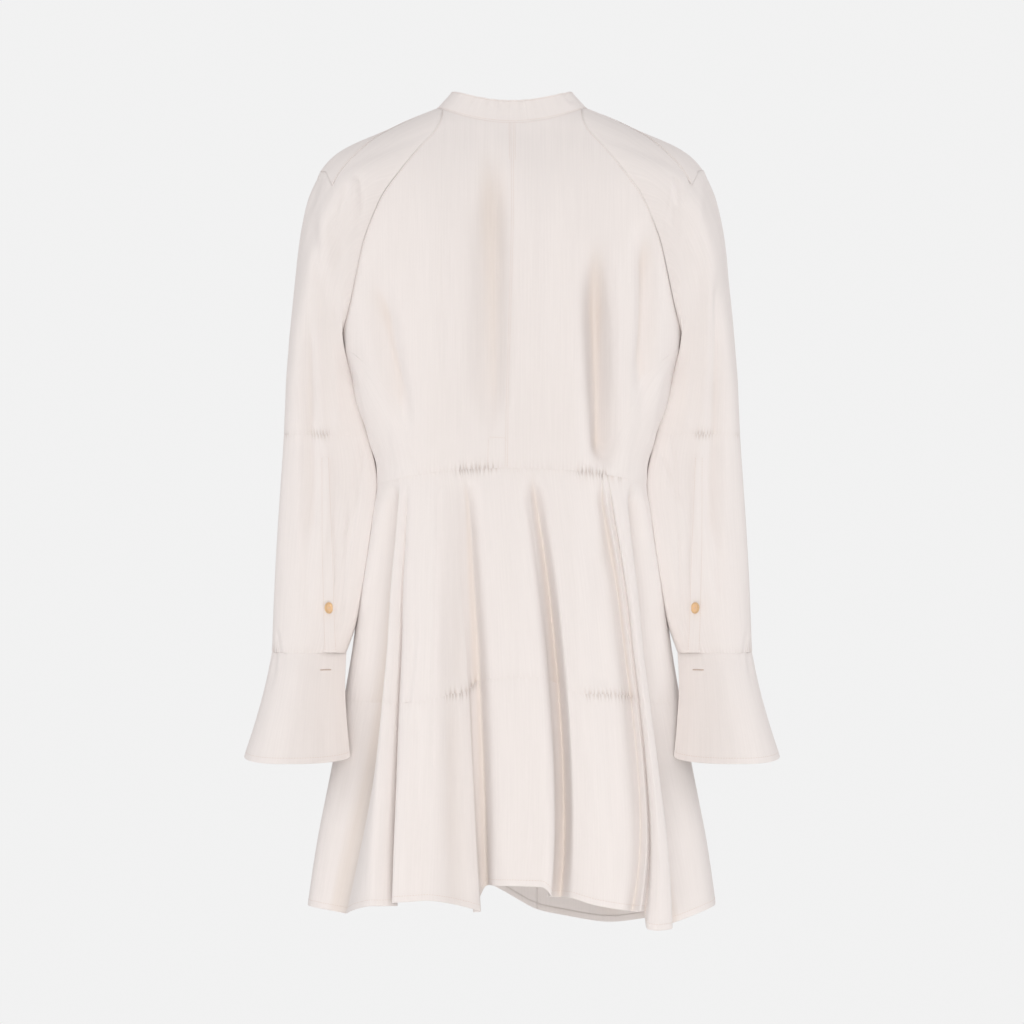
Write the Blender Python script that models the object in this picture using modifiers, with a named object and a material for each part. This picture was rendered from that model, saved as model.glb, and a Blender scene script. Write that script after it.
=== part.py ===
# Short shirt dress in cotton poplin: stand collar, raglan sleeves with shoulder saddles, flared cuffs,
# fitted bodice with side gores, and a flared skirt in two tiers. It stands open, as when it is worn.
#
# Metres, +Z up, +X to the wearer's right, +Y to the wearer's front. The origin is the middle of the neck
# opening, at the height where the collar seam crosses the shoulder line.

import math

import bpy
import numpy as np
from mathutils import Matrix

# Driving dimensions
CLOTH = 0.0012              # wall of every cut piece
SEAM = 0.0004               # space between two pieces along a seam
LAY = 0.0003                # space under a piece that lies on a panel
NECK_HALF = 0.079           # half width of the neckline
NECK_BACK_DROP = 0.0188     # how far the neckline falls at the centre back
NECK_FRONT_DROP = 0.046     # and at the centre front
COLLAR_HALF = 0.063         # half width of the collar's top edge
COLLAR_RISE = 0.017         # height of the collar's top edge at its sides
COLLAR_BACK = 0.0229        # collar height at the centre back
COLLAR_FRONT = 0.026        # collar height at the centre front
SQUARE = 0.18               # how far the body sections are squarer than an ellipse
UNDERARM_Z = -0.247
UNDERARM_ANGLE = 84.0       # body angle, from the centre back, of the back end of the gore's top
WAIST_HALF = 0.142          # half width of the waist seam
WAIST_SIDE_Z = -0.396
WAIST_RISE = 0.018          # how far the waist seam rises at the centre back
BICEP_Z = -0.285            # level where the sleeve head becomes a plain tube
ELBOW_Z = -0.342
CUFF_Z = -0.570
CUFF_GAP = 0.0017           # half space between the outer sides of the cuff's two ends
CUFF_DIP = 0.006            # how much lower the cuff's hem hangs behind and in front
PLACKET = 0.026             # width of the front band
SLEEVE_BAND = 0.0135        # width of the sleeve band, as seen from behind
SLEEVE_BAND_TOP_Z = -0.365
SLEEVE_BAND_LIFT = 0.0025   # how far its face stands off the sleeve's
SADDLE_END = 0.36           # share of the sleeve head that the shoulder saddle covers
SADDLE_BACK = (-2.0, 34.0)  # angle of its back edge at the neck and at its tip
SADDLE_FRONT = (-12.0, -40.0)
BUTTON_D = 0.0120
BUTTON_T = 0.0026
FRONT_BUTTONS = 5           # on the bodice band
SKIRT_BUTTON_SHARES = (0.25, 0.65)  # down the upper tier's band
FLOUNCE_BUTTON_SHARE = 0.12         # down the lower tier's band
SLEEVE_BUTTON_Z = -0.5227

# Pieces that meet along a seam share these marks on it, so that their facets match.
NECK_SHARE = 0.30           # share of a panel's top edge marks that lies on the neckline
NECK_MARKS = 4
RAGLAN_MARKS = 7
SADDLE_MARKS = 4
BODY_ROWS = np.linspace(SEAM / 0.5, 1 - SEAM / 0.5, 9)
TIER_ROWS = np.linspace(0.0, 1.0, 5)

IVORY = (0.86, 0.80, 0.77)
HORN = (0.72, 0.46, 0.22)


def table(names, *rows):
    # One array for each named column.
    return {name: np.array(values, float) for name, values in zip(names.split(), zip(*rows))}


# Bodice sections: half width, and depth behind and in front of the side line.
BODY = table(
    "z half_width back front",
    (-0.400, 0.1420, 0.090, 0.092),
    (-0.371, 0.1432, 0.091, 0.096),
    (-0.346, 0.1510, 0.094, 0.104),
    (-0.307, 0.1640, 0.100, 0.114),
    (-0.279, 0.1700, 0.104, 0.118),
    (-0.248, 0.1800, 0.106, 0.118),
    (-0.200, 0.1885, 0.108, 0.116),
    (-0.150, 0.1925, 0.106, 0.109),
    (-0.105, 0.1900, 0.099, 0.096),
    (-0.075, 0.1820, 0.090, 0.082),
    (-0.050, 0.1680, 0.077, 0.069),
    (-0.030, 0.1450, 0.064, 0.059),
    (-0.015, 0.1140, 0.055, 0.052),
    (-0.006, 0.0930, 0.048, 0.047),
    (0.000, 0.0790, 0.042, 0.043),
)

# Back raglan seam, from the neckline to the underarm.
RAGLAN = table(
    "x z",
    (0.0715, -0.0036),
    (0.0735, -0.0160),
    (0.0810, -0.0300),
    (0.0920, -0.0420),
    (0.1180, -0.0750),
    (0.1340, -0.0980),
    (0.1430, -0.1180),
    (0.1530, -0.1450),
    (0.1600, -0.1750),
    (0.1680, -0.2100),
    (0.1790, -0.2470),
)

# Seam between the back or front panel and the side gore, from the waist up to the underarm.
GORE = table(
    "x z",
    (0.0980, -0.3870),
    (0.1070, -0.3500),
    (0.1290, -0.3060),
    (0.1510, -0.2720),
    (0.1790, -0.2470),
)

# Sleeve head: where each thread line leaves the seam and how straight it runs into the tube. The angle
# goes round the sleeve, 0 at the outer side, 90 behind and 180 at the inner side.
SLEEVE_HEAD = table(
    "angle out aside down run",
    (0, 0.160, 0.000, -0.058, 0.165),
    (14, 0.155, -0.006, -0.057, 0.163),
    (45, 0.102, -0.008, -0.022, 0.142),
    (90, 0.046, -0.006, -0.008, 0.095),
    (135, 0.024, -0.008, -0.004, 0.045),
    (168, 0.013, -0.002, -0.001, 0.016),
    (180, 0.013, 0.000, -0.001, 0.016),
)

# How far the gathers below the saddle puff the head out, along its outer line from the seam down.
HEAD_PUFF = table(
    "w out",
    (0.00, 0.0000),
    (0.12, -0.0010),
    (0.30, 0.0065),
    (0.45, 0.0025),
    (0.58, -0.0025),
    (0.72, -0.0045),
    (0.86, -0.0030),
    (1.00, 0.0000),
)

# Sleeve tube sections: outer and inner reach, half depth, centre, how the section leans forward towards
# the body, and how far it narrows to an edge on the inner side.
SLEEVE = table(
    "z outer inner half_depth centre lean edge",
    (-0.285, 0.2380, 0.1690, 0.066, 0.014, 0.35, 0.0),
    (-0.315, 0.2395, 0.1600, 0.061, 0.019, 0.45, 0.0),
    (-0.342, 0.2408, 0.1510, 0.057, 0.021, 0.55, 0.0),
    (-0.392, 0.2440, 0.1455, 0.051, 0.022, 0.65, 0.0),
    (-0.440, 0.2470, 0.1480, 0.046, 0.020, 0.70, 0.1),
    (-0.500, 0.2500, 0.1570, 0.042, 0.014, 0.70, 0.3),
    (-0.545, 0.2515, 0.1650, 0.038, 0.002, 0.45, 0.7),
    (-0.570, 0.2520, 0.1730, 0.034, -0.006, 0.15, 1.0),
)

# Cuff sections, from its seam to its hem.
CUFF = table(
    "z outer inner half_depth centre",
    (-0.570, 0.2520, 0.1730, 0.034, -0.006),
    (-0.600, 0.2575, 0.1740, 0.037, -0.017),
    (-0.640, 0.2675, 0.1720, 0.042, -0.031),
    (-0.676, 0.2785, 0.1685, 0.046, -0.042),
)

# Skirt sections, before its folds.
SKIRT = table(
    "z half_width back front",
    (-0.870, 0.2225, 0.151, 0.146),
    (-0.768, 0.2055, 0.141, 0.137),
    (-0.688, 0.1885, 0.132, 0.130),
    (-0.607, 0.1730, 0.122, 0.121),
    (-0.570, 0.1665, 0.117, 0.116),
    (-0.500, 0.1575, 0.108, 0.108),
    (-0.440, 0.1480, 0.098, 0.099),
    (-0.378, 0.1400, 0.089, 0.091),
)

# Skirt folds, once round from the left side past the back, the right side and the front: the angle of
# each fold line from the centre back and how far it stands out, at the waist, tier seam and hem, then
# the heights of the tier seam and the hem there.
FOLD_NAMES = (
    "side_left trough_left ridge_a crease_a ridge_b ridge_b_mid ridge_b_edge trough_b ridge_c ridge_c_mid "
    "ridge_c_edge trough_c ridge_d ridge_d_mid ridge_d_edge crease_d tube tube_edge tube_back trough_right "
    "side_right front_trough_a front_ridge_a front_trough_b band_right band_left front_trough_c "
    "front_ridge_b front_trough_d"
).split()
FOLDS = table(
    "waist tier hem out_waist out_tier out_hem tier_z hem_z",
    (-91.0, -99.0, -105.0, 0.000, 0.004, 0.008, -0.621, -0.840),
    (-67.0, -67.0, -76.0, -0.002, -0.017, -0.028, -0.620, -0.837),
    (-57.0, -48.0, -44.0, 0.000, 0.001, 0.002, -0.619, -0.831),
    (-50.5, -42.6, -37.0, -0.001, -0.004, -0.008, -0.619, -0.829),
    (-46.0, -38.0, -35.2, 0.000, 0.003, 0.007, -0.618, -0.820),
    (-32.0, -27.0, -19.0, 0.001, 0.005, 0.005, -0.614, -0.818),
    (-21.0, -18.5, -9.4, 0.000, 0.001, 0.008, -0.608, -0.828),
    (-14.4, -11.5, -7.4, -0.002, -0.009, -0.013, -0.602, -0.815),
    (-7.5, -6.3, -5.0, 0.000, 0.001, 0.001, -0.595, -0.804),
    (3.0, 4.0, 2.5, 0.001, 0.005, 0.006, -0.593, -0.803),
    (12.0, 12.2, 8.6, 0.002, 0.007, 0.009, -0.593, -0.802),
    (15.1, 15.6, 12.6, -0.002, -0.009, -0.014, -0.598, -0.814),
    (21.7, 20.5, 17.0, 0.000, 0.001, 0.001, -0.605, -0.816),
    (32.0, 30.0, 27.0, 0.000, 0.003, 0.004, -0.610, -0.825),
    (44.0, 42.5, 37.2, 0.001, 0.006, 0.007, -0.616, -0.828),
    (47.0, 45.0, 38.8, -0.001, 0.001, 0.004, -0.618, -0.846),
    (50.0, 47.5, 43.5, 0.000, 0.008, 0.021, -0.618, -0.851),
    (53.0, 49.5, 48.0, 0.000, 0.004, 0.015, -0.619, -0.847),
    (54.5, 51.0, 47.4, -0.001, -0.001, -0.004, -0.619, -0.837),
    (63.0, 67.0, 76.0, -0.002, -0.018, -0.030, -0.620, -0.835),
    (91.0, 99.0, 105.0, 0.000, 0.004, 0.008, -0.621, -0.834),
    (117.0, 121.0, 123.0, -0.002, -0.008, -0.014, -0.620, -0.852),
    (133.0, 136.0, 138.0, 0.001, 0.006, 0.010, -0.620, -0.861),
    (149.0, 150.0, 151.0, -0.001, -0.005, -0.009, -0.620, -0.866),
    (168.0, 169.0, 170.0, 0.000, 0.001, 0.003, -0.620, -0.858),
    (192.0, 191.0, 190.0, 0.000, 0.001, 0.003, -0.620, -0.824),
    (209.0, 207.0, 205.0, -0.002, -0.007, -0.012, -0.620, -0.823),
    (226.0, 223.0, 221.0, 0.001, 0.007, 0.012, -0.620, -0.827),
    (243.0, 240.0, 238.0, -0.002, -0.008, -0.014, -0.620, -0.833),
)
SIDE_LEFT = 0
SIDE_RIGHT = FOLD_NAMES.index("side_right")
CENTRE_FRONT = FOLD_NAMES.index("band_right") + 0.5
TURN = len(FOLD_NAMES)


def smooth(xs, ys, at):
    # Value at each place asked for on a smooth curve through every row, flat past its ends.
    if xs[0] > xs[-1]:
        xs, ys = xs[::-1], ys[::-1]
    at = np.asarray(at, float)
    slope = np.gradient(ys, xs)
    i = np.clip(np.searchsorted(xs, at) - 1, 0, len(xs) - 2)
    step = xs[i + 1] - xs[i]
    t = np.clip((at - xs[i]) / step, 0.0, 1.0)
    return (
        ys[i] * (2 * t**3 - 3 * t**2 + 1)
        + slope[i] * step * (t**3 - 2 * t**2 + t)
        + ys[i + 1] * (3 * t**2 - 2 * t**3)
        + slope[i + 1] * step * (t**3 - t**2)
    )


def stack(x, y, z):
    return np.stack(np.broadcast_arrays(x, y, z), axis=-1)


def along(rows, t, drop=0.0):
    # Point (x, z) a share t of the way along a seam's table, measured by length.
    steps = np.hypot(np.diff(rows["x"]), np.diff(rows["z"]))
    share = np.concatenate([[0.0], np.cumsum(steps)]) / steps.sum()
    return smooth(share, rows["x"], t), smooth(share, rows["z"], t) - drop * (1 - t)


# ---- bodice ----


def body_y(x, z, front):
    # Depth of the body's surface at x and z: a squared ellipse in each level section.
    across = np.clip(np.abs(x) / smooth(BODY["z"], BODY["half_width"], z), 0.0, 1.0)
    depth = smooth(BODY["z"], BODY["front" if front else "back"], z)
    out = depth * np.sqrt(1 - across**2) * (1 + SQUARE * across**2)
    return out if front else -out


def body_round(angle, z):
    # The same surface by its angle from the centre back.
    x = smooth(BODY["z"], BODY["half_width"], z) * np.sin(angle)
    front = np.cos(angle) < 0
    return stack(x, np.where(front, body_y(x, z, True), body_y(x, z, False)), z)


def neck_z(angle):
    back = np.clip(np.cos(angle), 0, 1) ** 2
    front = np.clip(-np.cos(angle), 0, 1) ** 1.6
    return -NECK_BACK_DROP * back - NECK_FRONT_DROP * front


def neck(angle):
    # Neckline, by its angle from the centre back.
    x = NECK_HALF * np.sin(angle)
    z = neck_z(angle)
    return stack(x, np.where(np.cos(angle) < 0, body_y(x, z, True), body_y(x, z, False)), z)


RAGLAN_ANGLE = math.asin(RAGLAN["x"][0] / NECK_HALF)
RAGLAN["z"][0] = float(neck_z(RAGLAN_ANGLE))
# How much lower the front raglan seam starts.
RAGLAN_FRONT_DROP = float(neck_z(RAGLAN_ANGLE) - neck_z(math.pi - RAGLAN_ANGLE))
RAGLAN["x"][-1] = 0.180 * math.sin(math.radians(UNDERARM_ANGLE))
GORE["x"][-1] = RAGLAN["x"][-1]


def raglan(t, front):
    x, z = along(RAGLAN, t, RAGLAN_FRONT_DROP if front else 0.0)
    return stack(x, body_y(x, z, front), z)


def waist_z(x, front):
    # Height of the waist seam, which rises towards the centre back.
    if front:
        return np.full_like(np.asarray(x, float), WAIST_SIDE_Z)
    return WAIST_SIDE_Z + WAIST_RISE * np.clip(1 - (np.abs(x) / WAIST_HALF) ** 2, 0, 1) ** 0.75


def body_panel(u, v, front, inner_x):
    # Back or front panel as a patch in x and z laid on the body: u runs from the centre to the gore and
    # v from the waist to the neckline and the raglan seam.
    share = NECK_SHARE

    def top(s):
        on_neck = np.clip(s / share, 0, 1)
        start = math.asin(abs(inner_x) / NECK_HALF) * np.sign(inner_x)
        angle = start + (RAGLAN_ANGLE - start) * on_neck
        if front:
            angle = math.pi - angle
        x, z = along(RAGLAN, np.clip((s - share) / (1 - share), 0, 1), RAGLAN_FRONT_DROP if front else 0.0)
        return np.where(s < share, NECK_HALF * np.sin(angle), x), np.where(s < share, neck_z(angle), z)

    def bottom(s):
        x = inner_x + (GORE["x"][0] - inner_x) * s
        return x, waist_z(x, front)

    def side(s):
        x, z = along(GORE, s)
        return x, z + (waist_z(GORE["x"][0], front) - GORE["z"][0]) * (1 - s)

    def centre(s):
        low, high = bottom(np.array(0.0))[1], top(np.array(0.0))[1]
        return np.full_like(s, inner_x), low + (high - low) * s

    result = []
    for k in range(2):
        b0, b1 = bottom(np.array(0.0))[k], bottom(np.array(1.0))[k]
        t0, t1 = top(np.array(0.0))[k], top(np.array(1.0))[k]
        result.append(
            (1 - v) * bottom(u)[k] + v * top(u)[k] + (1 - u) * centre(v)[k] + u * side(v)[k]
            - (1 - u) * (1 - v) * b0 - u * (1 - v) * b1 - (1 - u) * v * t0 - u * v * t1
        )
    x, z = result
    return stack(x, body_y(x, z, front), z)


def gore_panel(u, v):
    # Side gore, from its back seam (u 0) round to its front seam (u 1), and from the waist to the underarm.
    x, z = along(GORE, v)
    start = math.asin(GORE["x"][0] / WAIST_HALF)
    round_waist = start + (math.pi - 2 * start) * u
    low = np.where(u > 0.5, WAIST_SIDE_Z, waist_z(WAIST_HALF * np.sin(round_waist), False))
    edges = []
    for front in (False, True):
        level = z + (waist_z(GORE["x"][0], front) - GORE["z"][0]) * (1 - v)
        edges.append(np.arcsin(np.clip(x / smooth(BODY["z"], BODY["half_width"], level), 0, 1)))
    angle = edges[0] + (math.pi - edges[1] - edges[0]) * u
    return body_round(angle, z + (low - GORE["z"][0]) * (1 - v))


# ---- sleeve ----


def sleeve_tube(angle, z, rows=SLEEVE):
    # Tube section at each level: an ellipse that leans and narrows to an edge on its inner side.
    outer, inner = smooth(rows["z"], rows["outer"], z), smooth(rows["z"], rows["inner"], z)
    half = (outer - inner) / 2
    edge = smooth(rows["z"], rows["edge"], z) if "edge" in rows else 1.0
    lean = smooth(rows["z"], rows["lean"], z) if "lean" in rows else 0.15
    deep = smooth(rows["z"], rows["half_depth"], z) * np.sin(angle)
    deep = deep * (1 - edge + edge * 1.3 * np.abs(np.cos(angle / 2)))
    centre = smooth(rows["z"], rows["centre"], z)
    return stack((outer + inner) / 2 + half * np.cos(angle), centre - deep - lean * half * np.cos(angle), z)


def sleeve_seam(degrees):
    # The closed seam that the sleeve is set into: neck, back raglan, underarm, front raglan, neck.
    degrees = (np.asarray(degrees, float) + 180) % 360 - 180
    size, front = np.abs(degrees), degrees < 0
    by_neck = math.pi / 2 - (math.pi / 2 - RAGLAN_ANGLE) * np.clip(size / 14, 0, 1)
    by_arm = np.radians(UNDERARM_ANGLE + (90 - UNDERARM_ANGLE) * np.clip((size - 168) / 12, 0, 1))
    t = np.clip((size - 14) / 154, 0, 1)
    result = np.where(front[..., None], raglan(t, True), raglan(t, False))
    near_neck = np.where(front, math.pi - by_neck, by_neck)
    result = np.where((size < 14)[..., None], neck(near_neck), result)
    near_arm = np.where(front, math.pi - by_arm, by_arm)
    return np.where((size > 168)[..., None], body_round(near_arm, np.full_like(size, UNDERARM_Z)), result)


def sleeve_head(degrees, w):
    # Cubic thread line from the seam (w 0) to the top of the tube (w 1).
    degrees = (np.asarray(degrees, float) + 180) % 360 - 180
    size, side = np.abs(degrees), np.where(degrees < 0, -1.0, 1.0)
    at = {name: smooth(SLEEVE_HEAD["angle"], SLEEVE_HEAD[name], size) for name in SLEEVE_HEAD}
    first = sleeve_seam(degrees)
    last = sleeve_tube(np.radians(degrees), np.full_like(degrees, BICEP_Z))
    below = sleeve_tube(np.radians(degrees), np.full_like(degrees, BICEP_Z - 0.01))
    second = first + stack(at["out"], at["aside"] * side, at["down"])
    third = last + (last - below) / 0.01 * at["run"][..., None]
    w = np.asarray(w, float)
    puff = smooth(HEAD_PUFF["w"], HEAD_PUFF["out"], w) * np.clip(np.cos(np.radians(degrees)), 0, 1) ** 2
    puffed = stack(puff, 0 * puff, puff * 0.8 * (1 - w))
    w = w[..., None]
    return (
        (1 - w) ** 3 * first + 3 * (1 - w) ** 2 * w * second + 3 * (1 - w) * w**2 * third + w**3 * last
    ) + puffed


def saddle_edges(w):
    t = np.clip(w / SADDLE_END, 0, 1)
    back = SADDLE_BACK[0] + (SADDLE_BACK[1] - SADDLE_BACK[0]) * t**1.3
    return SADDLE_FRONT[0] + (SADDLE_FRONT[1] - SADDLE_FRONT[0]) * t, back


def sleeve_band(u, v):
    # Band over the sleeve's slit: u across it as seen from behind, v from its top down to the cuff.
    z = SLEEVE_BAND_TOP_Z + (CUFF_Z + SEAM - SLEEVE_BAND_TOP_Z) * v
    x = 0.1955 - 0.0062 * v + SLEEVE_BAND * (0.7 + 0.3 * np.minimum(v * 2, 1)) * (u - 0.5)
    outer, inner = smooth(SLEEVE["z"], SLEEVE["outer"], z), smooth(SLEEVE["z"], SLEEVE["inner"], z)
    angle = np.arccos(np.clip((x - (outer + inner) / 2) / ((outer - inner) / 2), -1, 1))
    return sleeve_tube(angle, z)


def cuff(u, v):
    # Open cuff whose two ends lie inner side to inner side: u runs from the back end to the front end.
    angle = math.pi * (1 - 2 * u)
    z = CUFF_Z - SEAM + (CUFF["z"][-1] - CUFF_Z + SEAM) * v
    point = sleeve_tube(angle, z, CUFF)
    dip = CUFF_DIP * v**3 * np.sin(np.abs(angle)) ** 0.7
    apart = CUFF_GAP * (1 - np.cos(angle)) / 2
    return point + stack(0 * u, -np.sign(angle) * apart, -dip)


# ---- skirt ----


def skirt(u, v):
    # u counts fold lines round the ring, and v runs from the waist (0) past the tier seam (1) to the hem (2).
    u, v = np.broadcast_arrays(np.asarray(u, float), np.asarray(v, float))
    i = np.floor(u).astype(int)
    f = u - i
    soft = f * f * (3 - 2 * f)
    low, high, turn = i % TURN, (i + 1) % TURN, 360.0 * np.floor_divide(i, TURN)
    turn_high = 360.0 * np.floor_divide(i + 1, TURN)
    weights = ((v - 1) * (v - 2) / 2, v * (2 - v), v * (v - 1) / 2)

    def by_level(names, a, b, add_a=0.0, add_b=0.0, mix=f):
        start = sum(w * FOLDS[n][a] for w, n in zip(weights, names)) + add_a
        end = sum(w * FOLDS[n][b] for w, n in zip(weights, names)) + add_b
        return start + (end - start) * mix

    angle = np.radians(by_level(("waist", "tier", "hem"), low, high, turn, turn_high))
    out = by_level(("out_waist", "out_tier", "out_hem"), low, high, mix=soft)
    tier_z = FOLDS["tier_z"][low] + (FOLDS["tier_z"][high] - FOLDS["tier_z"][low]) * soft
    hem_z = FOLDS["hem_z"][low] + (FOLDS["hem_z"][high] - FOLDS["hem_z"][low]) * soft
    behind = np.cos(angle) > 0
    top_z = np.where(behind, waist_z(WAIST_HALF * np.sin(angle), False), WAIST_SIDE_Z)
    z = np.where(v < 1, top_z + (tier_z - top_z) * v, tier_z + (hem_z - tier_z) * (v - 1))
    half = smooth(SKIRT["z"], SKIRT["half_width"], z)
    deep = np.where(behind, smooth(SKIRT["z"], SKIRT["back"], z), smooth(SKIRT["z"], SKIRT["front"], z))
    square = 1 + SQUARE * np.sin(angle) ** 2
    ease = np.clip(v / 0.08, 0, 1)
    half = half * ease + WAIST_HALF * (1 - ease)
    deep = deep * ease + np.where(behind, 0.090, 0.092) * (1 - ease)
    normal = np.stack([np.sin(angle) * deep, -np.cos(angle) * half], axis=-1)
    normal = normal / np.linalg.norm(normal, axis=-1, keepdims=True)
    x = half * np.sin(angle) + normal[..., 0] * out
    return stack(x, -deep * np.cos(angle) * square + normal[..., 1] * out, z)


def skirt_band(u, v):
    # Front band on the skirt: u across its width.
    half = smooth(SKIRT["z"], SKIRT["half_width"], -0.396 - 0.22 * np.asarray(v, float))
    spread = np.radians(22.0) * half
    return skirt(CENTRE_FRONT + (u - 0.5) * PLACKET / spread, v)


# ---- collar ----


def collar(angle, v):
    # Stand collar by its angle from the centre back, past the centre front at both ends, where its ends lap:
    # v runs from the seam to the top edge.
    low = neck(angle)
    back = np.clip(np.cos(angle), 0, 1)
    front = np.clip(-np.cos(angle), 0, 1)
    side = 1 - back**2 - front**2
    high_z = (-NECK_BACK_DROP + COLLAR_BACK) * back**2 + COLLAR_RISE * side
    high_z = high_z + (-NECK_FRONT_DROP + COLLAR_FRONT) * front**2
    high = stack(COLLAR_HALF * np.sin(angle), low[..., 1] * 0.90, high_z)
    start = low + stack(0 * angle, 0 * angle, SEAM + LAY + 0 * angle)
    point = start + (high - start) * np.asarray(v)[..., None]
    lap = np.clip((angle - math.radians(150)) / math.radians(12), 0, 1)
    outward = stack(0 * angle, 0 * angle + 1.0, 0 * angle) * (CLOTH + LAY + 0.0003)
    return point + outward * (lap * lap * (3 - 2 * lap))[..., None]


# ---- building ----


def clear_scene():
    for item in list(bpy.data.objects):
        bpy.data.objects.remove(item)


def new_collection(name):
    made = bpy.data.collections.new(name)
    bpy.context.scene.collection.children.link(made)
    return made


def material(name, colour, roughness):
    made = bpy.data.materials.new(name)
    made.use_nodes = True
    shader = made.node_tree.nodes["Principled BSDF"]
    shader.inputs["Base Color"].default_value = (*colour, 1.0)
    shader.inputs["Roughness"].default_value = roughness
    shader.inputs["Metallic"].default_value = 0.0
    return made


def grid_normals(points, closed):
    ahead = np.roll(points, -1, 0) - np.roll(points, 1, 0) if closed else np.gradient(points, axis=0)
    normals = np.cross(ahead, np.gradient(points, axis=1))
    return normals / np.maximum(np.linalg.norm(normals, axis=-1, keepdims=True), 1e-12)


def shell(name, points, closed=False, flip=False, mirror=False, raised=0.0, colour=IVORY, skip=None, wall=CLOTH):
    # One cut piece: a grid of points, open or closed round its first direction, given its wall inwards.
    if raised:
        points = points + grid_normals(points, closed) * (-raised if flip else raised)
    if mirror:
        points = points * np.array([-1.0, 1.0, 1.0])
    m, n = points.shape[:2]
    turned = flip != mirror
    faces = []
    for i in range(m if closed else m - 1):
        for j in range(n - 1):
            if skip and skip(i, j):
                continue
            k = (i + 1) % m
            face = (i * n + j, k * n + j, k * n + j + 1, i * n + j + 1)
            faces.append(face[::-1] if turned else face)
    used = sorted({index for face in faces for index in face})
    number = {old: new for new, old in enumerate(used)}
    mesh = bpy.data.meshes.new(name)
    flat = points.reshape(-1, 3)
    mesh.from_pydata([flat[k] for k in used], [], [[number[k] for k in face] for face in faces])
    mesh.materials.append(material(name, colour, 0.85))
    mesh.shade_smooth()
    made = bpy.data.objects.new(name, mesh)
    PIECES.objects.link(made)
    solid = made.modifiers.new("wall", "SOLIDIFY")
    solid.thickness = wall
    solid.offset = -1.0
    solid.use_even_offset = True
    solid.use_quality_normals = True
    return made


def spread(count, low, high):
    return np.linspace(low, high, count)


def mesh_grid(us, vs):
    return np.meshgrid(us, vs, indexing="ij")


def build_bodice():
    edge = SEAM / 0.24
    us = np.concatenate([
        spread(NECK_MARKS + 1, 0.0, NECK_SHARE), NECK_SHARE + (1 - NECK_SHARE) * spread(RAGLAN_MARKS + 1, 0, 1)[1:],
    ])
    us[-1] -= edge
    lap = PLACKET / 2 - 0.001
    for side in ("left", "right"):
        mirror = side == "left"
        u, v = mesh_grid(us, BODY_ROWS)
        shell(f"back_{side}", body_panel(u, v, False, SEAM / 2), mirror=mirror)
        inner = lap + SEAM if side == "right" else -lap
        shell(f"front_{side}", body_panel(u, v, True, inner), mirror=mirror, flip=True)
        u, v = mesh_grid(spread(8, edge, 1 - edge), BODY_ROWS)
        shell(f"side_{side}", gore_panel(u, v), mirror=mirror)


def build_collar():
    lap = math.asin(PLACKET / 2 / NECK_HALF)
    raglan_angle, fold = RAGLAN_ANGLE, math.pi - RAGLAN_ANGLE
    half = np.concatenate([
        spread(NECK_MARKS + 1, 0.0, raglan_angle),
        [(raglan_angle + math.pi / 2) / 2, math.pi / 2, (fold + math.pi / 2) / 2],
        spread(NECK_MARKS + 1, fold, math.pi - lap),
        [math.pi, math.pi + lap],
    ])
    angles = np.concatenate([-half[:0:-1], half])
    u, v = mesh_grid(angles, spread(3, 0, 1))
    shell("collar_band", collar(u, v))


def head_columns(w):
    # Angles round the sleeve at one level of its head: across the saddle, down behind, under and up in front.
    front, back = saddle_edges(w)
    share = spread(RAGLAN_MARKS + 1, 0, 1)
    behind, before = max(14.0, back + 8), max(14.0, -front + 8 * min(w / SADDLE_END, 1.0))
    rear = behind + (168 - behind) * share
    fore = 360 - (before + (168 - before) * share)
    return np.concatenate([spread(SADDLE_MARKS + 1, front, back), rear, [180.0], fore[::-1]])


def build_sleeves():
    levels = np.concatenate([[0.0, 0.09, 0.20, SADDLE_END], spread(5, 0.50, 1.0)])
    cut = int(np.argmax(levels == SADDLE_END))
    degrees = np.array([head_columns(w) for w in levels]).T
    start = SEAM / 0.10
    w = np.broadcast_to(np.maximum(levels, start), degrees.shape)
    ring = np.radians(degrees[:, -1])
    tube = [sleeve_tube(ring, np.full(len(ring), z)) for z in spread(4, BICEP_Z, ELBOW_Z + SEAM / 2)[1:]]
    upper = np.concatenate([sleeve_head(degrees, w), np.stack(tube, axis=1)], axis=1)

    levels = np.array([start, 0.09, 0.20, SADDLE_END - 0.004])
    rows = []
    for level in levels:
        front, back = saddle_edges(level)
        rows.append(spread(SADDLE_MARKS + 1, front + 0.35, back - 0.35))
    degrees = np.array(rows).T
    saddle = sleeve_head(degrees, np.broadcast_to(levels, degrees.shape))

    angle, z = mesh_grid(np.radians(spread(25, 0, 360)[:-1]), spread(6, ELBOW_Z - SEAM / 2, CUFF_Z + SEAM / 2))
    lower = sleeve_tube(angle, z)
    band = sleeve_band(*mesh_grid(spread(3, 0, 1), spread(9, 0, 0.999)))
    wrap = cuff(*mesh_grid(spread(25, 0, 1), spread(4, 0, 1)))
    for side in ("left", "right"):
        mirror = side == "left"
        shell(
            f"sleeve_upper_{side}", upper, closed=True, mirror=mirror,
            skip=lambda i, j: i < SADDLE_MARKS and j < cut,
        )
        shell(f"saddle_{side}", saddle, mirror=mirror)
        shell(f"sleeve_lower_{side}", lower, closed=True, mirror=mirror)
        shell(f"sleeve_band_{side}", band, flip=True, mirror=mirror, raised=SLEEVE_BAND_LIFT)
        shell(f"cuff_{side}", wrap, flip=True, mirror=mirror)


def tier_rows(start, end):
    rows = TIER_ROWS.copy() + (1.0 if start >= 1 else 0.0)
    rows[0], rows[-1] = start, end
    return rows


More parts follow.
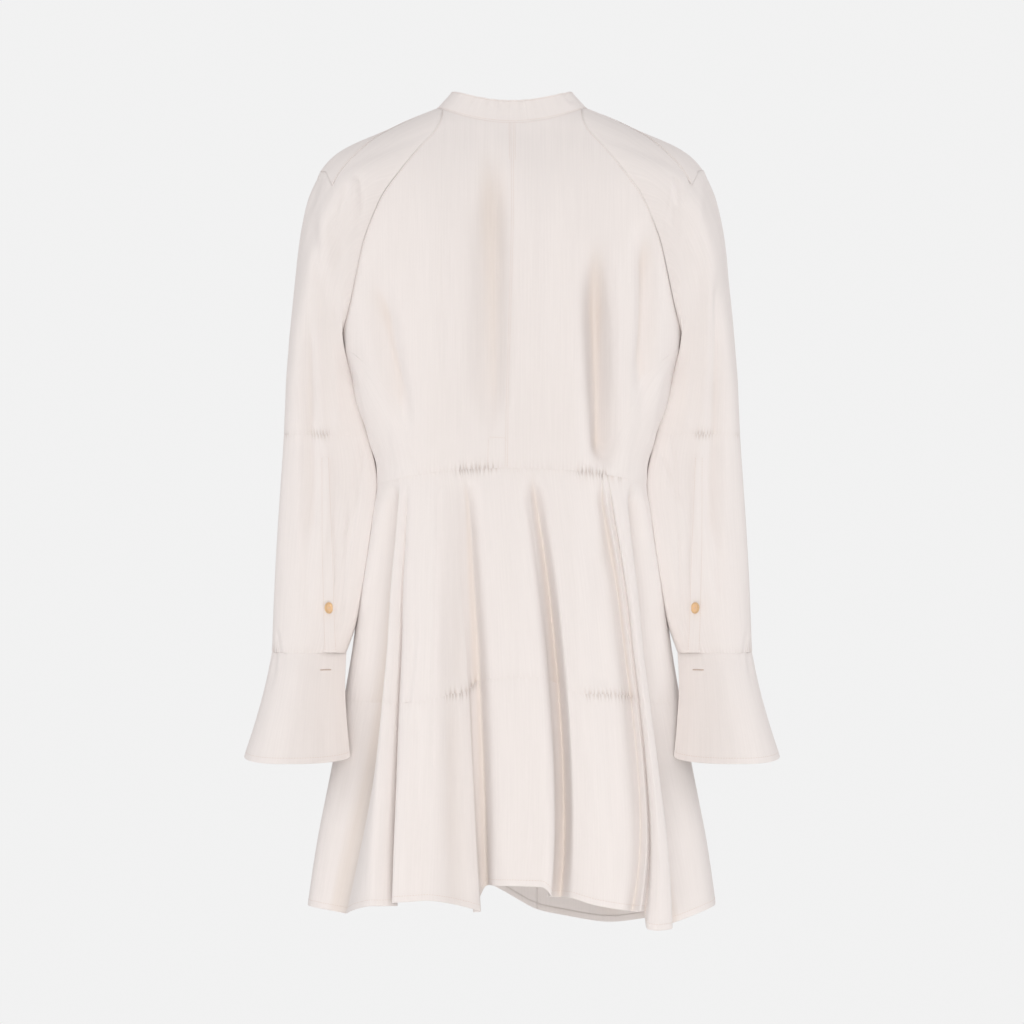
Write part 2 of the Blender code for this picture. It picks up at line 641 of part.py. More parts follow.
def build_skirt():
    gap = 0.004
    spans = {
        "back": (SIDE_LEFT - 0.5 + gap, SIDE_RIGHT + 0.5 - gap),
        "front_right": (SIDE_RIGHT + 0.5 + gap, CENTRE_FRONT - 0.28),
        "front_left": (CENTRE_FRONT - 0.28 + 0.012, TURN - 0.5 - gap),
    }
    for name, (start, end) in spans.items():
        between = np.arange(math.ceil((start + 0.01) * 2), math.floor((end - 0.01) * 2) + 1) / 2
        us = np.concatenate([[start], between, [end]])
        for part, vs in (("skirt", tier_rows(0.0018, 0.999)), ("flounce", tier_rows(1.001, 2.0))):
            shell(f"{part}_{name}", skirt(*mesh_grid(us, vs)), flip=True)


def bodice_band(u, v):
    # Front band on the bodice: u across it, v from the waist to the neckline.
    x = (u - 0.5) * PLACKET
    low = WAIST_SIDE_Z + 2 * SEAM
    high = neck_z(math.pi - np.arcsin(np.abs(x) / NECK_HALF)) - 2 * SEAM
    z = low + (high - low) * v
    return stack(x, body_y(x, z, True), z)


def build_bands():
    shell("band_bodice", bodice_band(*mesh_grid(spread(3, 0, 1), BODY_ROWS)), flip=True, raised=CLOTH + LAY)
    for name, low, high in (("band_skirt", 0.004, 0.998), ("band_flounce", 1.002, 1.996)):
        u, v = mesh_grid(spread(3, 0, 1), tier_rows(low, high))
        shell(name, skirt_band(u, v), flip=True, raised=CLOTH + LAY)


def button(name, at, normal):
    # Turned disc with a slightly smaller face, its back a little off what it lies on.
    normal = np.asarray(normal, float) / np.linalg.norm(normal)
    bpy.ops.mesh.primitive_cone_add(
        vertices=20, radius1=BUTTON_D / 2, radius2=BUTTON_D / 2 - 0.0006, depth=BUTTON_T,
    )
    made = bpy.context.object
    made.name = made.data.name = name
    for old in list(made.users_collection):
        old.objects.unlink(made)
    PIECES.objects.link(made)
    made.data.materials.append(material(name, HORN, 0.35))
    x_axis = np.cross((0.0, 0.0, 1.0), normal)
    x_axis = x_axis / np.linalg.norm(x_axis)
    y_axis = np.cross(normal, x_axis)
    place = np.asarray(at, float) + normal * (LAY + BUTTON_T / 2)
    made.matrix_world = Matrix([[x_axis[r], y_axis[r], normal[r], place[r]] for r in range(3)] + [[0, 0, 0, 1]])


def on_facets(points, share, facing, raised=CLOTH + LAY):
    # Middle of a raised band at a share of its length, on its facets, and the normal there.
    points = points + grid_normals(points, False) * facing * raised
    middle = points[points.shape[0] // 2]
    run = np.concatenate([[0.0], np.cumsum(np.linalg.norm(np.diff(middle, axis=0), axis=1))])
    i = int(np.clip(np.searchsorted(run, share * run[-1]) - 1, 0, len(run) - 2))
    f = (share * run[-1] - run[i]) / (run[i + 1] - run[i])
    across = points[-1, i] - points[0, i]
    normal = np.cross(across, middle[i + 1] - middle[i]) * facing
    return middle[i] + (middle[i + 1] - middle[i]) * f, normal


def build_buttons():
    spots = []
    grid = bodice_band(*mesh_grid(spread(3, 0, 1), BODY_ROWS))
    spots += [on_facets(grid, share, -1) for share in spread(FRONT_BUTTONS, 0.92, 0.10)]
    grid = skirt_band(*mesh_grid(spread(3, 0, 1), tier_rows(0.004, 0.998)))
    spots += [on_facets(grid, share, -1) for share in SKIRT_BUTTON_SHARES]
    grid = skirt_band(*mesh_grid(spread(3, 0, 1), tier_rows(1.002, 1.996)))
    spots += [on_facets(grid, FLOUNCE_BUTTON_SHARE, -1)]
    for number, (at, normal) in enumerate(spots, 1):
        button(f"button_{number}", at, normal)
    at, up = collar(np.array(math.pi), np.array(0.5)), collar(np.array(math.pi), np.array(0.7))
    button("button_collar", at, (0.0, (up - at)[2], -(up - at)[1]))
    grid = sleeve_band(*mesh_grid(spread(3, 0, 1), spread(9, 0, 0.999)))
    share = (SLEEVE_BUTTON_Z - SLEEVE_BAND_TOP_Z) / (CUFF_Z - SLEEVE_BAND_TOP_Z)
    at, normal = on_facets(grid, share, -1, SLEEVE_BAND_LIFT)
    for side, turn in (("left", -1.0), ("right", 1.0)):
        button(f"sleeve_button_{side}", at * (turn, 1, 1), normal * (turn, 1, 1))


clear_scene()
PIECES = new_collection("shirt_dress")
build_bodice()
build_collar()
build_sleeves()
build_skirt()
build_bands()
build_buttons()
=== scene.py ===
import math

import bpy
import numpy as np
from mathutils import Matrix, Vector


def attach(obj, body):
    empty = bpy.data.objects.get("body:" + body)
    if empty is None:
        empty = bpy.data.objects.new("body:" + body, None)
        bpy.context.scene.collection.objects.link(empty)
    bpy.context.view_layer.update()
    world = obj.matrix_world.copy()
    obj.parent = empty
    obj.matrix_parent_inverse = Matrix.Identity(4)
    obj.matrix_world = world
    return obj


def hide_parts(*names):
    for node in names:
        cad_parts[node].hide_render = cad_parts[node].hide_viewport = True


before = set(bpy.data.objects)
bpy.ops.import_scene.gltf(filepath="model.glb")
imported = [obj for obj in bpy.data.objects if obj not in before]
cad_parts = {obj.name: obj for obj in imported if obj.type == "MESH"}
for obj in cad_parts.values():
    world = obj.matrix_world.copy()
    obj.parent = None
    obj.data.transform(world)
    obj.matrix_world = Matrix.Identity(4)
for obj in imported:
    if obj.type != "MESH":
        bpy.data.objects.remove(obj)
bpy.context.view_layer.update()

print("frame loaded:", len(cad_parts), "nodes")

# Shirt dress in ivory cotton poplin. Metres, +Z up, +X to the wearer's right, +Y to the wearer's front.
# A surface is a grid of points: its first direction goes across or round a piece, its second along it.

cloth = {
    "wall": 0.0008,         # thickness of the shell that stands for one layer
    "tuck": 0.0015,         # depth of the seam allowance that shows in a seam's groove
    "seamDip": 0.0002,      # how deep a sewn edge is drawn in
    "seamWide": 0.0013,     # and over what width
    "hemDeep": 0.0070,      # width of a turned-up hem
}


def table(names, *rows):
    # One array for each named column.
    return {name: np.array(values, float) for name, values in zip(names.split(), zip(*rows))}


def smoothThrough(xs, ys, at):
    # Cubic curve through every row, with the slope at a row taken from its neighbours; flat past its ends.
    if xs[0] > xs[-1]:
        xs, ys = xs[::-1], ys[::-1]
    at = np.asarray(at, float)
    slope = np.gradient(ys, xs)
    i = np.clip(np.searchsorted(xs, at) - 1, 0, len(xs) - 2)
    step = xs[i + 1] - xs[i]
    h = hermite(np.clip((at - xs[i]) / step, 0.0, 1.0))
    return ys[i] * h[0] + slope[i] * step * h[1] + ys[i + 1] * h[2] + slope[i + 1] * step * h[3]


def hermite(t):
    # Weights of the first value, first slope, last value and last slope of a cubic at its share t.
    return 2 * t**3 - 3 * t**2 + 1, t**3 - 2 * t**2 + t, 3 * t**2 - 2 * t**3, t**3 - t**2


def column(rows, name, at, by="z"):
    # A table's column read as a smooth curve along another of its columns.
    return smoothThrough(rows[by], rows[name], at)


def rise(t):
    # 0 below 0, 1 above 1, and a smooth step between.
    t = np.clip(t, 0.0, 1.0)
    return t * t * (3 - 2 * t)


def stack(x, y, z):
    # Points from their three coordinates.
    return np.stack(np.broadcast_arrays(x, y, z), axis=-1)


def unit(vectors):
    # Each vector divided by its length.
    return vectors / np.maximum(np.linalg.norm(vectors, axis=-1, keepdims=True), 1e-12)


def runLength(points):
    # Distance along a run of points, from 0.
    return np.concatenate([[0.0], np.cumsum(np.linalg.norm(np.diff(points, axis=0), axis=-1))])


def spread(count, low=0.0, high=1.0, dense=0.0):
    # Evenly spaced marks; dense (0 to 0.9) crowds them towards both ends.
    t = np.linspace(0.0, 1.0, count)
    t = t - dense * np.sin(2 * np.pi * t) / (2 * np.pi)
    return low + (high - low) * t


def grid(us, vs):
    # Every pair of two lists of marks.
    return np.meshgrid(us, vs, indexing="ij")


# Level sections of the bodice: half width, and depth behind and in front of the side line.
bodySections = table(
    "z halfWidth back front",
    (-0.400, 0.1420, 0.090, 0.092),
    (-0.371, 0.1432, 0.091, 0.096),
    (-0.346, 0.1510, 0.094, 0.104),
    (-0.307, 0.1640, 0.100, 0.114),
    (-0.279, 0.1700, 0.104, 0.118),
    (-0.248, 0.1800, 0.106, 0.118),
    (-0.200, 0.1885, 0.108, 0.116),
    (-0.150, 0.1925, 0.106, 0.109),
    (-0.105, 0.1900, 0.099, 0.096),
    (-0.075, 0.1820, 0.090, 0.082),
    (-0.050, 0.1680, 0.077, 0.069),
    (-0.030, 0.1450, 0.064, 0.059),
    (-0.015, 0.1140, 0.055, 0.052),
    (-0.006, 0.0930, 0.048, 0.047),
    (0.000, 0.0790, 0.042, 0.043),
)
neckCut = {"half": 0.079, "backDrop": 0.0188, "frontDrop": 0.046}
waistCut = {"half": 0.142, "sideZ": -0.396, "rise": 0.018, "back": 0.090, "front": 0.092}
bodySquare = {"back": 0.45, "front": 0.18}      # how far the sections are squarer than an ellipse
underarm = {"z": -0.247, "half": 0.180, "angle": 84.0}
neckShare = 0.30            # share of a panel's top edge that lies on the neckline

# Back raglan seam, from the neckline to the underarm, and the seam of the side gore, from the waist up.
raglanSeam = table(
    "x z",
    (0.0715, -0.0036),
    (0.0735, -0.0160),
    (0.0810, -0.0300),
    (0.0920, -0.0420),
    (0.1180, -0.0750),
    (0.1340, -0.0980),
    (0.1430, -0.1180),
    (0.1530, -0.1450),
    (0.1600, -0.1750),
    (0.1680, -0.2100),
    (0.1790, -0.2470),
)
goreSeam = table(
    "x z",
    (0.0980, -0.3870),
    (0.1070, -0.3500),
    (0.1290, -0.3060),
    (0.1510, -0.2720),
    (0.1790, -0.2470),
)
# How far the centre back seam wanders to the wearer's left on its way down.
centreDrift = table(
    "z x",
    (-0.384, -0.0060),
    (-0.300, -0.0046),
    (-0.210, -0.0018),
    (-0.120, 0.0004),
    (-0.010, 0.0000),
)


def alongSeam(rows, t, drop=0.0):
    # Point (x, z) a share t of the way along a seam's table, measured by length.
    share = runLength(np.stack([rows["x"], rows["z"]], axis=-1))
    share = share / share[-1]
    return smoothThrough(share, rows["x"], t), smoothThrough(share, rows["z"], t) - drop * (1 - t)


def bodyDepth(x, z, front):
    # y = depth * sqrt(1 - a^2) * (1 + square * a^2), where a is x over the half width at that level.
    part = "front" if front else "back"
    a = np.clip(np.abs(x) / column(bodySections, "halfWidth", z), 0.0, 1.0)
    out = column(bodySections, part, z) * np.sqrt(1 - a**2) * (1 + bodySquare[part] * a**2)
    return out if front else -out


def onBody(x, z, angle):
    # Point of the body at x and z, in front where its angle from the centre back is past a quarter turn.
    return stack(x, np.where(np.cos(angle) < 0, bodyDepth(x, z, True), bodyDepth(x, z, False)), z)


def bodyRound(angle, z):
    # Point of the body at an angle from the centre back: x = half width * sin(angle).
    return onBody(column(bodySections, "halfWidth", z) * np.sin(angle), z, angle)


def neckHeight(angle):
    # The neckline drops by cos^2 of its angle behind and by cos^1.6 in front.
    back = np.clip(np.cos(angle), 0, 1) ** 2
    front = np.clip(-np.cos(angle), 0, 1) ** 1.6
    return -neckCut["backDrop"] * back - neckCut["frontDrop"] * front


def neckLine(angle):
    # Point of the neckline: x = half width * sin(angle).
    return onBody(neckCut["half"] * np.sin(angle), neckHeight(angle), angle)


raglanAngle = math.asin(raglanSeam["x"][0] / neckCut["half"])
raglanSeam["z"][0] = float(neckHeight(raglanAngle))
raglanFrontDrop = float(neckHeight(raglanAngle) - neckHeight(math.pi - raglanAngle))
raglanSeam["x"][-1] = goreSeam["x"][-1] = underarm["half"] * math.sin(math.radians(underarm["angle"]))
goreLow = {"x": goreSeam["x"][0], "z": goreSeam["z"][0]}


def raglanLine(t, front):
    # Point a share t of the way down the raglan seam, behind or in front.
    x, z = alongSeam(raglanSeam, t, raglanFrontDrop if front else 0.0)
    return stack(x, bodyDepth(x, z, front), z)


def waistHeight(x, front):
    # The waist seam rises behind by (1 - (x / half)^2)^0.75 and is level in front.
    lift = np.clip(1 - (np.abs(x) / waistCut["half"]) ** 2, 0, 1) ** 0.75
    return waistCut["sideZ"] + waistCut["rise"] * lift * (not front)


def bodyPanel(u, v, front, innerX, drift=0.0):
    # Back or front panel: a patch blended from its four edges in x and z, then laid on the body's depth.
    # u runs from the centre to the gore, and v from the waist to the neckline and the raglan seam.
    start = math.asin(abs(innerX) / neckCut["half"]) * np.sign(innerX)

    def top(s):
        angle = start + (raglanAngle - start) * np.clip(s / neckShare, 0, 1)
        angle = math.pi - angle if front else angle
        beyond = np.clip((s - neckShare) / (1 - neckShare), 0, 1)
        x, z = alongSeam(raglanSeam, beyond, raglanFrontDrop if front else 0.0)
        return np.where(s < neckShare, (neckCut["half"] * np.sin(angle), neckHeight(angle)), (x, z))

    def bottom(s):
        x = innerX + (goreLow["x"] - innerX) * s
        return np.array([x, waistHeight(x, front)])

    def side(s):
        x, z = alongSeam(goreSeam, s)
        return np.array([x, z + (waistHeight(goreLow["x"], front) - goreLow["z"]) * (1 - s)])

    def centre(s):
        low, high = bottom(np.zeros(1))[1], top(np.zeros(1))[1]
        return np.array([np.full_like(s, innerX), low + (high - low) * s])

    (b0, b1), (t0, t1) = (edge(np.array([0.0, 1.0])).T[..., None, None] for edge in (bottom, top))
    x, z = (
        (1 - v) * bottom(u) + v * top(u) + (1 - u) * centre(v) + u * side(v)
        - (1 - u) * (1 - v) * b0 - u * (1 - v) * b1 - (1 - u) * v * t0 - u * v * t1
    )
    x = x + column(centreDrift, "x", z) * drift * (1 - u)
    return stack(x, bodyDepth(x, z, front), z)


def gorePanel(u, v):
    # Side gore, from its back seam (u 0) round to its front seam (u 1), and from the waist to the underarm.
    x, z = alongSeam(goreSeam, v)
    start = math.asin(goreLow["x"] / waistCut["half"])
    roundWaist = start + (math.pi - 2 * start) * u
    low = np.where(u > 0.5, waistCut["sideZ"], waistHeight(waistCut["half"] * np.sin(roundWaist), False))
    edges = []
    for front in (False, True):
        level = z + (waistHeight(goreLow["x"], front) - goreLow["z"]) * (1 - v)
        edges.append(np.arcsin(np.clip(x / column(bodySections, "halfWidth", level), 0, 1)))
    angle = edges[0] + (math.pi - edges[1] - edges[0]) * u
    return bodyRound(angle, z + (low - goreLow["z"]) * (1 - v))


# How each thread line of the sleeve head leaves its seam and how straight it runs into the tube. The angle
# goes round the sleeve, 0 at the outer side, 90 behind and 180 at the inner side.
sleeveHead = table(
    "angle out aside down run",
    (0, 0.160, 0.000, -0.058, 0.165),
    (14, 0.155, -0.006, -0.057, 0.163),
    (45, 0.102, -0.008, -0.022, 0.142),
    (90, 0.046, -0.006, -0.008, 0.095),
    (135, 0.020, -0.008, -0.004, 0.045),
    (168, 0.004, -0.002, -0.006, 0.020),
    (180, 0.004, 0.000, -0.006, 0.020),
)
headPuff = table(
    "w out",
    (0.00, 0.0000),
    (0.12, -0.0010),
    (0.30, 0.0065),
    (0.45, 0.0025),
    (0.58, -0.0025),
    (0.72, -0.0045),
    (0.86, -0.0030),
    (1.00, 0.0000),
)
# Tube sections: outer and inner reach, half depth, centre, how far the section leans forward towards the
# body, how far it narrows to an edge on its inner side, and how flat it stays behind before it turns in.
sleeveSections = table(
    "z outer inner halfDepth centre lean edge flat",
    (-0.285, 0.2380, 0.1645, 0.050, 0.021, 0.12, 0.0, 0.9),
    (-0.315, 0.2395, 0.1582, 0.040, 0.025, 0.08, 0.0, 1.0),
    (-0.342, 0.2408, 0.1508, 0.035, 0.023, 0.02, 0.0, 1.0),
    (-0.392, 0.2440, 0.1408, 0.032, 0.017, -0.06, 0.0, 1.0),
    (-0.440, 0.2470, 0.1466, 0.031, 0.009, -0.14, 0.0, 1.0),
    (-0.500, 0.2500, 0.1555, 0.030, 0.002, -0.20, 0.2, 1.0),
    (-0.545, 0.2515, 0.1642, 0.030, -0.005, -0.25, 0.6, 0.9),
    (-0.570, 0.2520, 0.1730, 0.032, -0.009, -0.28, 1.0, 0.8),
)
cuffSections = table(
    "z outer inner halfDepth centre lean edge flat",
    (-0.570, 0.2520, 0.1730, 0.032, -0.009, -0.28, 1.0, 0.0),
    (-0.600, 0.2575, 0.1740, 0.036, -0.018, -0.24, 1.0, 0.0),
    (-0.640, 0.2675, 0.1720, 0.041, -0.031, -0.18, 1.0, 0.0),
    (-0.676, 0.2785, 0.1685, 0.045, -0.042, -0.12, 1.0, 0.0),
)
sleeveCut = {"bicepZ": -0.285, "elbowZ": -0.342, "cuffZ": -0.570, "cuffGap": 0.0014, "cuffDip": 0.006}
saddleCut = {"end": 0.36, "back": (-2.0, 34.0), "front": (-12.0, -40.0), "marks": 28,
             "lift": 0.0005, "overEnd": 1.006, "overSide": 0.9}
sleeveBandCut = {"wide": 0.0135, "topX": 0.1955, "shift": 0.0062, "topZ": -0.365, "lift": 0.0011,
                 "buttonZ": -0.5227, "buttonTurn": 1.3, "buttonLift": 0.0024}
tip, armpit = 14, 168       # angles where the sleeve's seam leaves the neckline and reaches the underarm


def sleeveTube(angle, z, rows=sleeveSections):
    # Level section: an ellipse that leans and narrows to an edge on its inner side.
    outer, inner, centre, lean, edge, flat, deep = (
        column(rows, name, z) for name in ("outer", "inner", "centre", "lean", "edge", "flat", "halfDepth"))
    half = (outer - inner) / 2
    bend = np.sin(angle)
    power = 1 - 0.93 * flat * rise(-np.cos(angle) / 0.3) * (bend > 0)
    deep = deep * np.sign(bend) * np.abs(bend) ** power
    deep = deep * (1 - edge + edge * 1.3 * np.abs(np.cos(angle / 2)))
    return stack((outer + inner) / 2 + half * np.cos(angle), centre - deep - lean * half * np.cos(angle), z)


def halfTurn(degrees):
    # An angle's size up to 180 and whether it lies in front.
    degrees = (np.asarray(degrees, float) + 180) % 360 - 180
    return np.abs(degrees), degrees < 0


def sleeveSeam(degrees):
    # The closed seam that the sleeve is set into: neck, back raglan, underarm, front raglan, neck.
    size, front = halfTurn(degrees)
    byNeck = math.pi / 2 - (math.pi / 2 - raglanAngle) * np.clip(size / tip, 0, 1)
    share = np.clip((size - armpit) / (180 - armpit), 0, 1)
    byArm = np.radians(underarm["angle"] + (90 - underarm["angle"]) * share)
    t = np.clip((size - tip) / (armpit - tip), 0, 1)
    result = np.where(front[..., None], raglanLine(t, True), raglanLine(t, False))
    result = np.where((size < tip)[..., None], neckLine(np.where(front, math.pi - byNeck, byNeck)), result)
    armLine = bodyRound(np.where(front, math.pi - byArm, byArm), np.full_like(size, underarm["z"]))
    return np.where((size > armpit)[..., None], armLine, result)


def sleeveHeadForm(degrees, w):
    # Cubic thread line from the seam (w 0) to the top of the tube (w 1), puffed out below the saddle.
    size, front = halfTurn(degrees)
    at = {name: column(sleeveHead, name, size, "angle") for name in sleeveHead}
    angle, bicep = np.radians(degrees), np.full(degrees.shape, sleeveCut["bicepZ"])
    first, last = sleeveSeam(degrees), sleeveTube(angle, bicep)
    second = first + stack(at["out"], at["aside"] * np.where(front, -1.0, 1.0), at["down"])
    third = last + (last - sleeveTube(angle, bicep - 0.01)) / 0.01 * at["run"][..., None]
    puff = column(headPuff, "out", w, "w") * np.clip(np.cos(angle), 0, 1) ** 2
    puffed = stack(puff, 0 * puff, puff * 0.8 * (1 - w))
    w = w[..., None]
    rest = 1 - w
    return rest**3 * first + 3 * rest**2 * w * second + 3 * rest * w**2 * third + w**3 * last + puffed


def saddleEdges(w):
    # Angles of the saddle's front and back edges at a level of the sleeve head.
    t = np.clip(w / saddleCut["end"], 0, 1)
    back, front = saddleCut["back"], saddleCut["front"]
    return np.array([front[0] + (front[1] - front[0]) * t, back[0] + (back[1] - back[0]) * t**1.3])


def sleeveBandForm(u, v):
    # Band over the sleeve's slit: u across it as seen from behind, v from its top down to the cuff.
    z = sleeveBandCut["topZ"] + (sleeveCut["cuffZ"] + 0.0003 - sleeveBandCut["topZ"]) * v
    x = sleeveBandCut["topX"] - sleeveBandCut["shift"] * v
    x = x + sleeveBandCut["wide"] * (0.7 + 0.3 * np.minimum(v * 2, 1)) * (u - 0.5)
    outer, inner = column(sleeveSections, "outer", z), column(sleeveSections, "inner", z)
    return sleeveTube(np.arccos(np.clip((x - (outer + inner) / 2) / ((outer - inner) / 2), -1, 1)), z)


def cuffForm(u, v):
    # Open cuff whose two ends lie inner side to inner side: u runs from the back end to the front end.
    angle = math.pi * (1 - 2 * u)
    z = sleeveCut["cuffZ"] + (cuffSections["z"][-1] - sleeveCut["cuffZ"]) * v
    dip = sleeveCut["cuffDip"] * v**3 * np.sin(np.abs(angle)) ** 0.7
    apart = sleeveCut["cuffGap"] * (1 - np.cos(angle)) / 2 * rise(v / 0.3)
    return sleeveTube(angle, z, cuffSections) + stack(0 * u, -np.sign(angle) * apart, -dip)


skirtSections = table(
    "z halfWidth back front",
    (-0.870, 0.2225, 0.151, 0.146),
    (-0.768, 0.2055, 0.141, 0.137),
    (-0.688, 0.1885, 0.132, 0.130),
    (-0.607, 0.1730, 0.122, 0.121),
    (-0.570, 0.1665, 0.117, 0.116),
    (-0.500, 0.1575, 0.108, 0.108),
    (-0.440, 0.1480, 0.098, 0.099),
    (-0.378, 0.1400, 0.089, 0.091),
)

# Fold lines once round from the left side past the back, the right side and the front: the angle of each
# from the centre back and how far it stands out, at the waist, tier seam and hem, then the heights of the
# tier seam and the hem there. Where the angle runs back, the cloth folds behind the ridge before it.
foldNames = (
    "sideLeft edgeLeft troughLeft ridgeA creaseA foldA ridgeB ridgeBMid ridgeBBright hollowB ridgeBEdge "
    "underB troughB ridgeC ridgeCMid ridgeCEdge stripC underC troughC ridgeD ridgeDMid ridgeDRight "
    "troughE ridgeE underE tubeLeft tube tubeRight underTube troughRight edgeRight sideRight "
    "frontTroughA frontRidgeA frontTroughB bandRight bandLeft frontTroughC frontRidgeB frontTroughD"
).split()
foldLines = table(
    "waist tier hem outWaist outTier outHem tierZ hemZ",
    (-91.0, -100.0, -103.0, 0.0000, 0.0020, -0.0020, -0.6210, -0.8400),
    (-72.0, -84.0, -84.0, 0.0010, 0.0000, -0.0030, -0.6210, -0.8335),
    (-60.0, -64.0, -69.0, -0.0140, -0.0360, -0.0340, -0.6220, -0.8380),
    (-54.5, -47.6, -41.2, 0.0000, 0.0040, 0.0030, -0.6188, -0.8226),
    (-51.2, -43.6, -37.0, -0.0010, -0.0040, -0.0030, -0.6194, -0.8227),
    (-50.2, -43.7, -35.2, -0.0020, -0.0090, -0.0150, -0.6202, -0.8236),
    (-47.7, -39.2, -33.9, 0.0000, 0.0020, 0.0050, -0.6190, -0.8190),
    (-41.6, -33.2, -28.1, 0.0010, 0.0070, 0.0100, -0.6170, -0.8167),
    (-34.1, -26.7, -23.7, 0.0030, 0.0090, 0.0040, -0.6142, -0.8160),
    (-29.5, -22.0, -17.3, -0.0020, -0.0060, -0.0140, -0.6097, -0.8207),
    (-24.8, -15.9, -9.3, -0.0060, -0.0170, -0.0300, -0.6066, -0.8299),
    (-22.6, -15.5, -11.6, -0.0080, -0.0210, -0.0340, -0.6032, -0.8309),
    (-20.5, -12.8, -8.3, -0.0090, -0.0260, -0.0420, -0.5963, -0.8051),
    (-13.8, -7.2, -5.1, 0.0000, 0.0000, -0.0100, -0.5936, -0.8020),
    (-3.8, 1.7, 1.1, 0.0020, 0.0080, 0.0060, -0.5917, -0.8009),
    (2.3, 9.9, 7.9, 0.0010, 0.0030, 0.0080, -0.5919, -0.8017),
    (4.2, 13.1, 10.8, -0.0020, -0.0060, 0.0000, -0.5939, -0.8116),
    (5.9, 13.5, 10.5, -0.0050, -0.0100, -0.0100, -0.5956, -0.8132),
    (8.2, 17.7, 14.5, -0.0090, -0.0230, -0.0260, -0.6002, -0.8148),
    (13.3, 19.0, 16.1, 0.0000, 0.0040, -0.0020, -0.6041, -0.8134),
    (22.5, 26.1, 22.8, 0.0020, 0.0030, 0.0060, -0.6089, -0.8204),
    (30.6, 37.2, 30.1, 0.0000, -0.0060, 0.0040, -0.6100, -0.8249),
    (39.8, 48.9, 35.5, -0.0080, -0.0160, -0.0080, -0.6130, -0.8280),
    (41.1, 49.3, 36.5, 0.0000, -0.0080, 0.0030, -0.6143, -0.8276),
    (44.2, 50.8, 39.2, -0.0020, -0.0080, -0.0040, -0.6159, -0.8295),
    (44.5, 49.0, 37.9, 0.0010, -0.0010, 0.0050, -0.6161, -0.8447),
    (49.0, 49.8, 40.4, 0.0020, 0.0040, 0.0140, -0.6170, -0.8462),
    (55.0, 53.5, 46.4, 0.0000, 0.0010, 0.0080, -0.6189, -0.8456),
    (58.3, 54.4, 48.4, -0.0040, -0.0080, -0.0060, -0.6203, -0.8390),
    (63.0, 61.0, 60.0, -0.0130, -0.0330, -0.0330, -0.6220, -0.8460),
    (72.0, 83.0, 80.0, 0.0010, 0.0000, -0.0030, -0.6210, -0.8325),
    (91.0, 100.0, 103.0, 0.0000, 0.0020, -0.0030, -0.6210, -0.8340),
    (117.0, 121.0, 123.0, -0.002, -0.010, -0.017, -0.620, -0.852),
    (133.0, 136.0, 138.0, 0.001, 0.006, 0.010, -0.620, -0.861),
    (149.0, 150.0, 151.0, -0.001, -0.006, -0.011, -0.620, -0.866),
    (168.0, 169.0, 170.0, 0.000, 0.001, 0.003, -0.620, -0.858),
    (192.0, 191.0, 190.0, 0.000, 0.001, 0.003, -0.620, -0.824),
    (209.0, 207.0, 205.0, -0.002, -0.008, -0.014, -0.620, -0.823),
    (226.0, 223.0, 221.0, 0.001, 0.007, 0.012, -0.620, -0.827),
    (243.0, 240.0, 238.0, -0.002, -0.010, -0.017, -0.620, -0.833),
)
turn = len(foldNames)
sideRight = foldNames.index("sideRight")
centreFront = foldNames.index("bandRight") + 0.5
# How the fronts end past the centre front, in fold lines, how far the left one lies inside where they lap,
# and how far each tier reaches up under its seam.
lapCut = {"right": -0.28, "left": -0.36, "deep": 0.0014, "wide": 0.016, "ease": 0.006, "up": 0.0007}


def ringSlopes(values, wrap=0.0):
    # Slope at each fold line that lets the curve pass it without a bump: 0 at a turning point.
    ahead = np.roll(values, -1) - values
    ahead[-1] += wrap
    behind = np.roll(ahead, 1)
    same = ahead * behind > 0
    return np.where(same, 2 * ahead * behind / np.where(same, ahead + behind, 1.0), 0.0)


foldAngles, foldOuts = ("waist", "tier", "hem"), ("outWaist", "outTier", "outHem")
fullTurn = {name: 360.0 if name in foldAngles else 0.0 for name in foldLines}
foldSlopes = {name: ringSlopes(rows, fullTurn[name]) for name, rows in foldLines.items()}


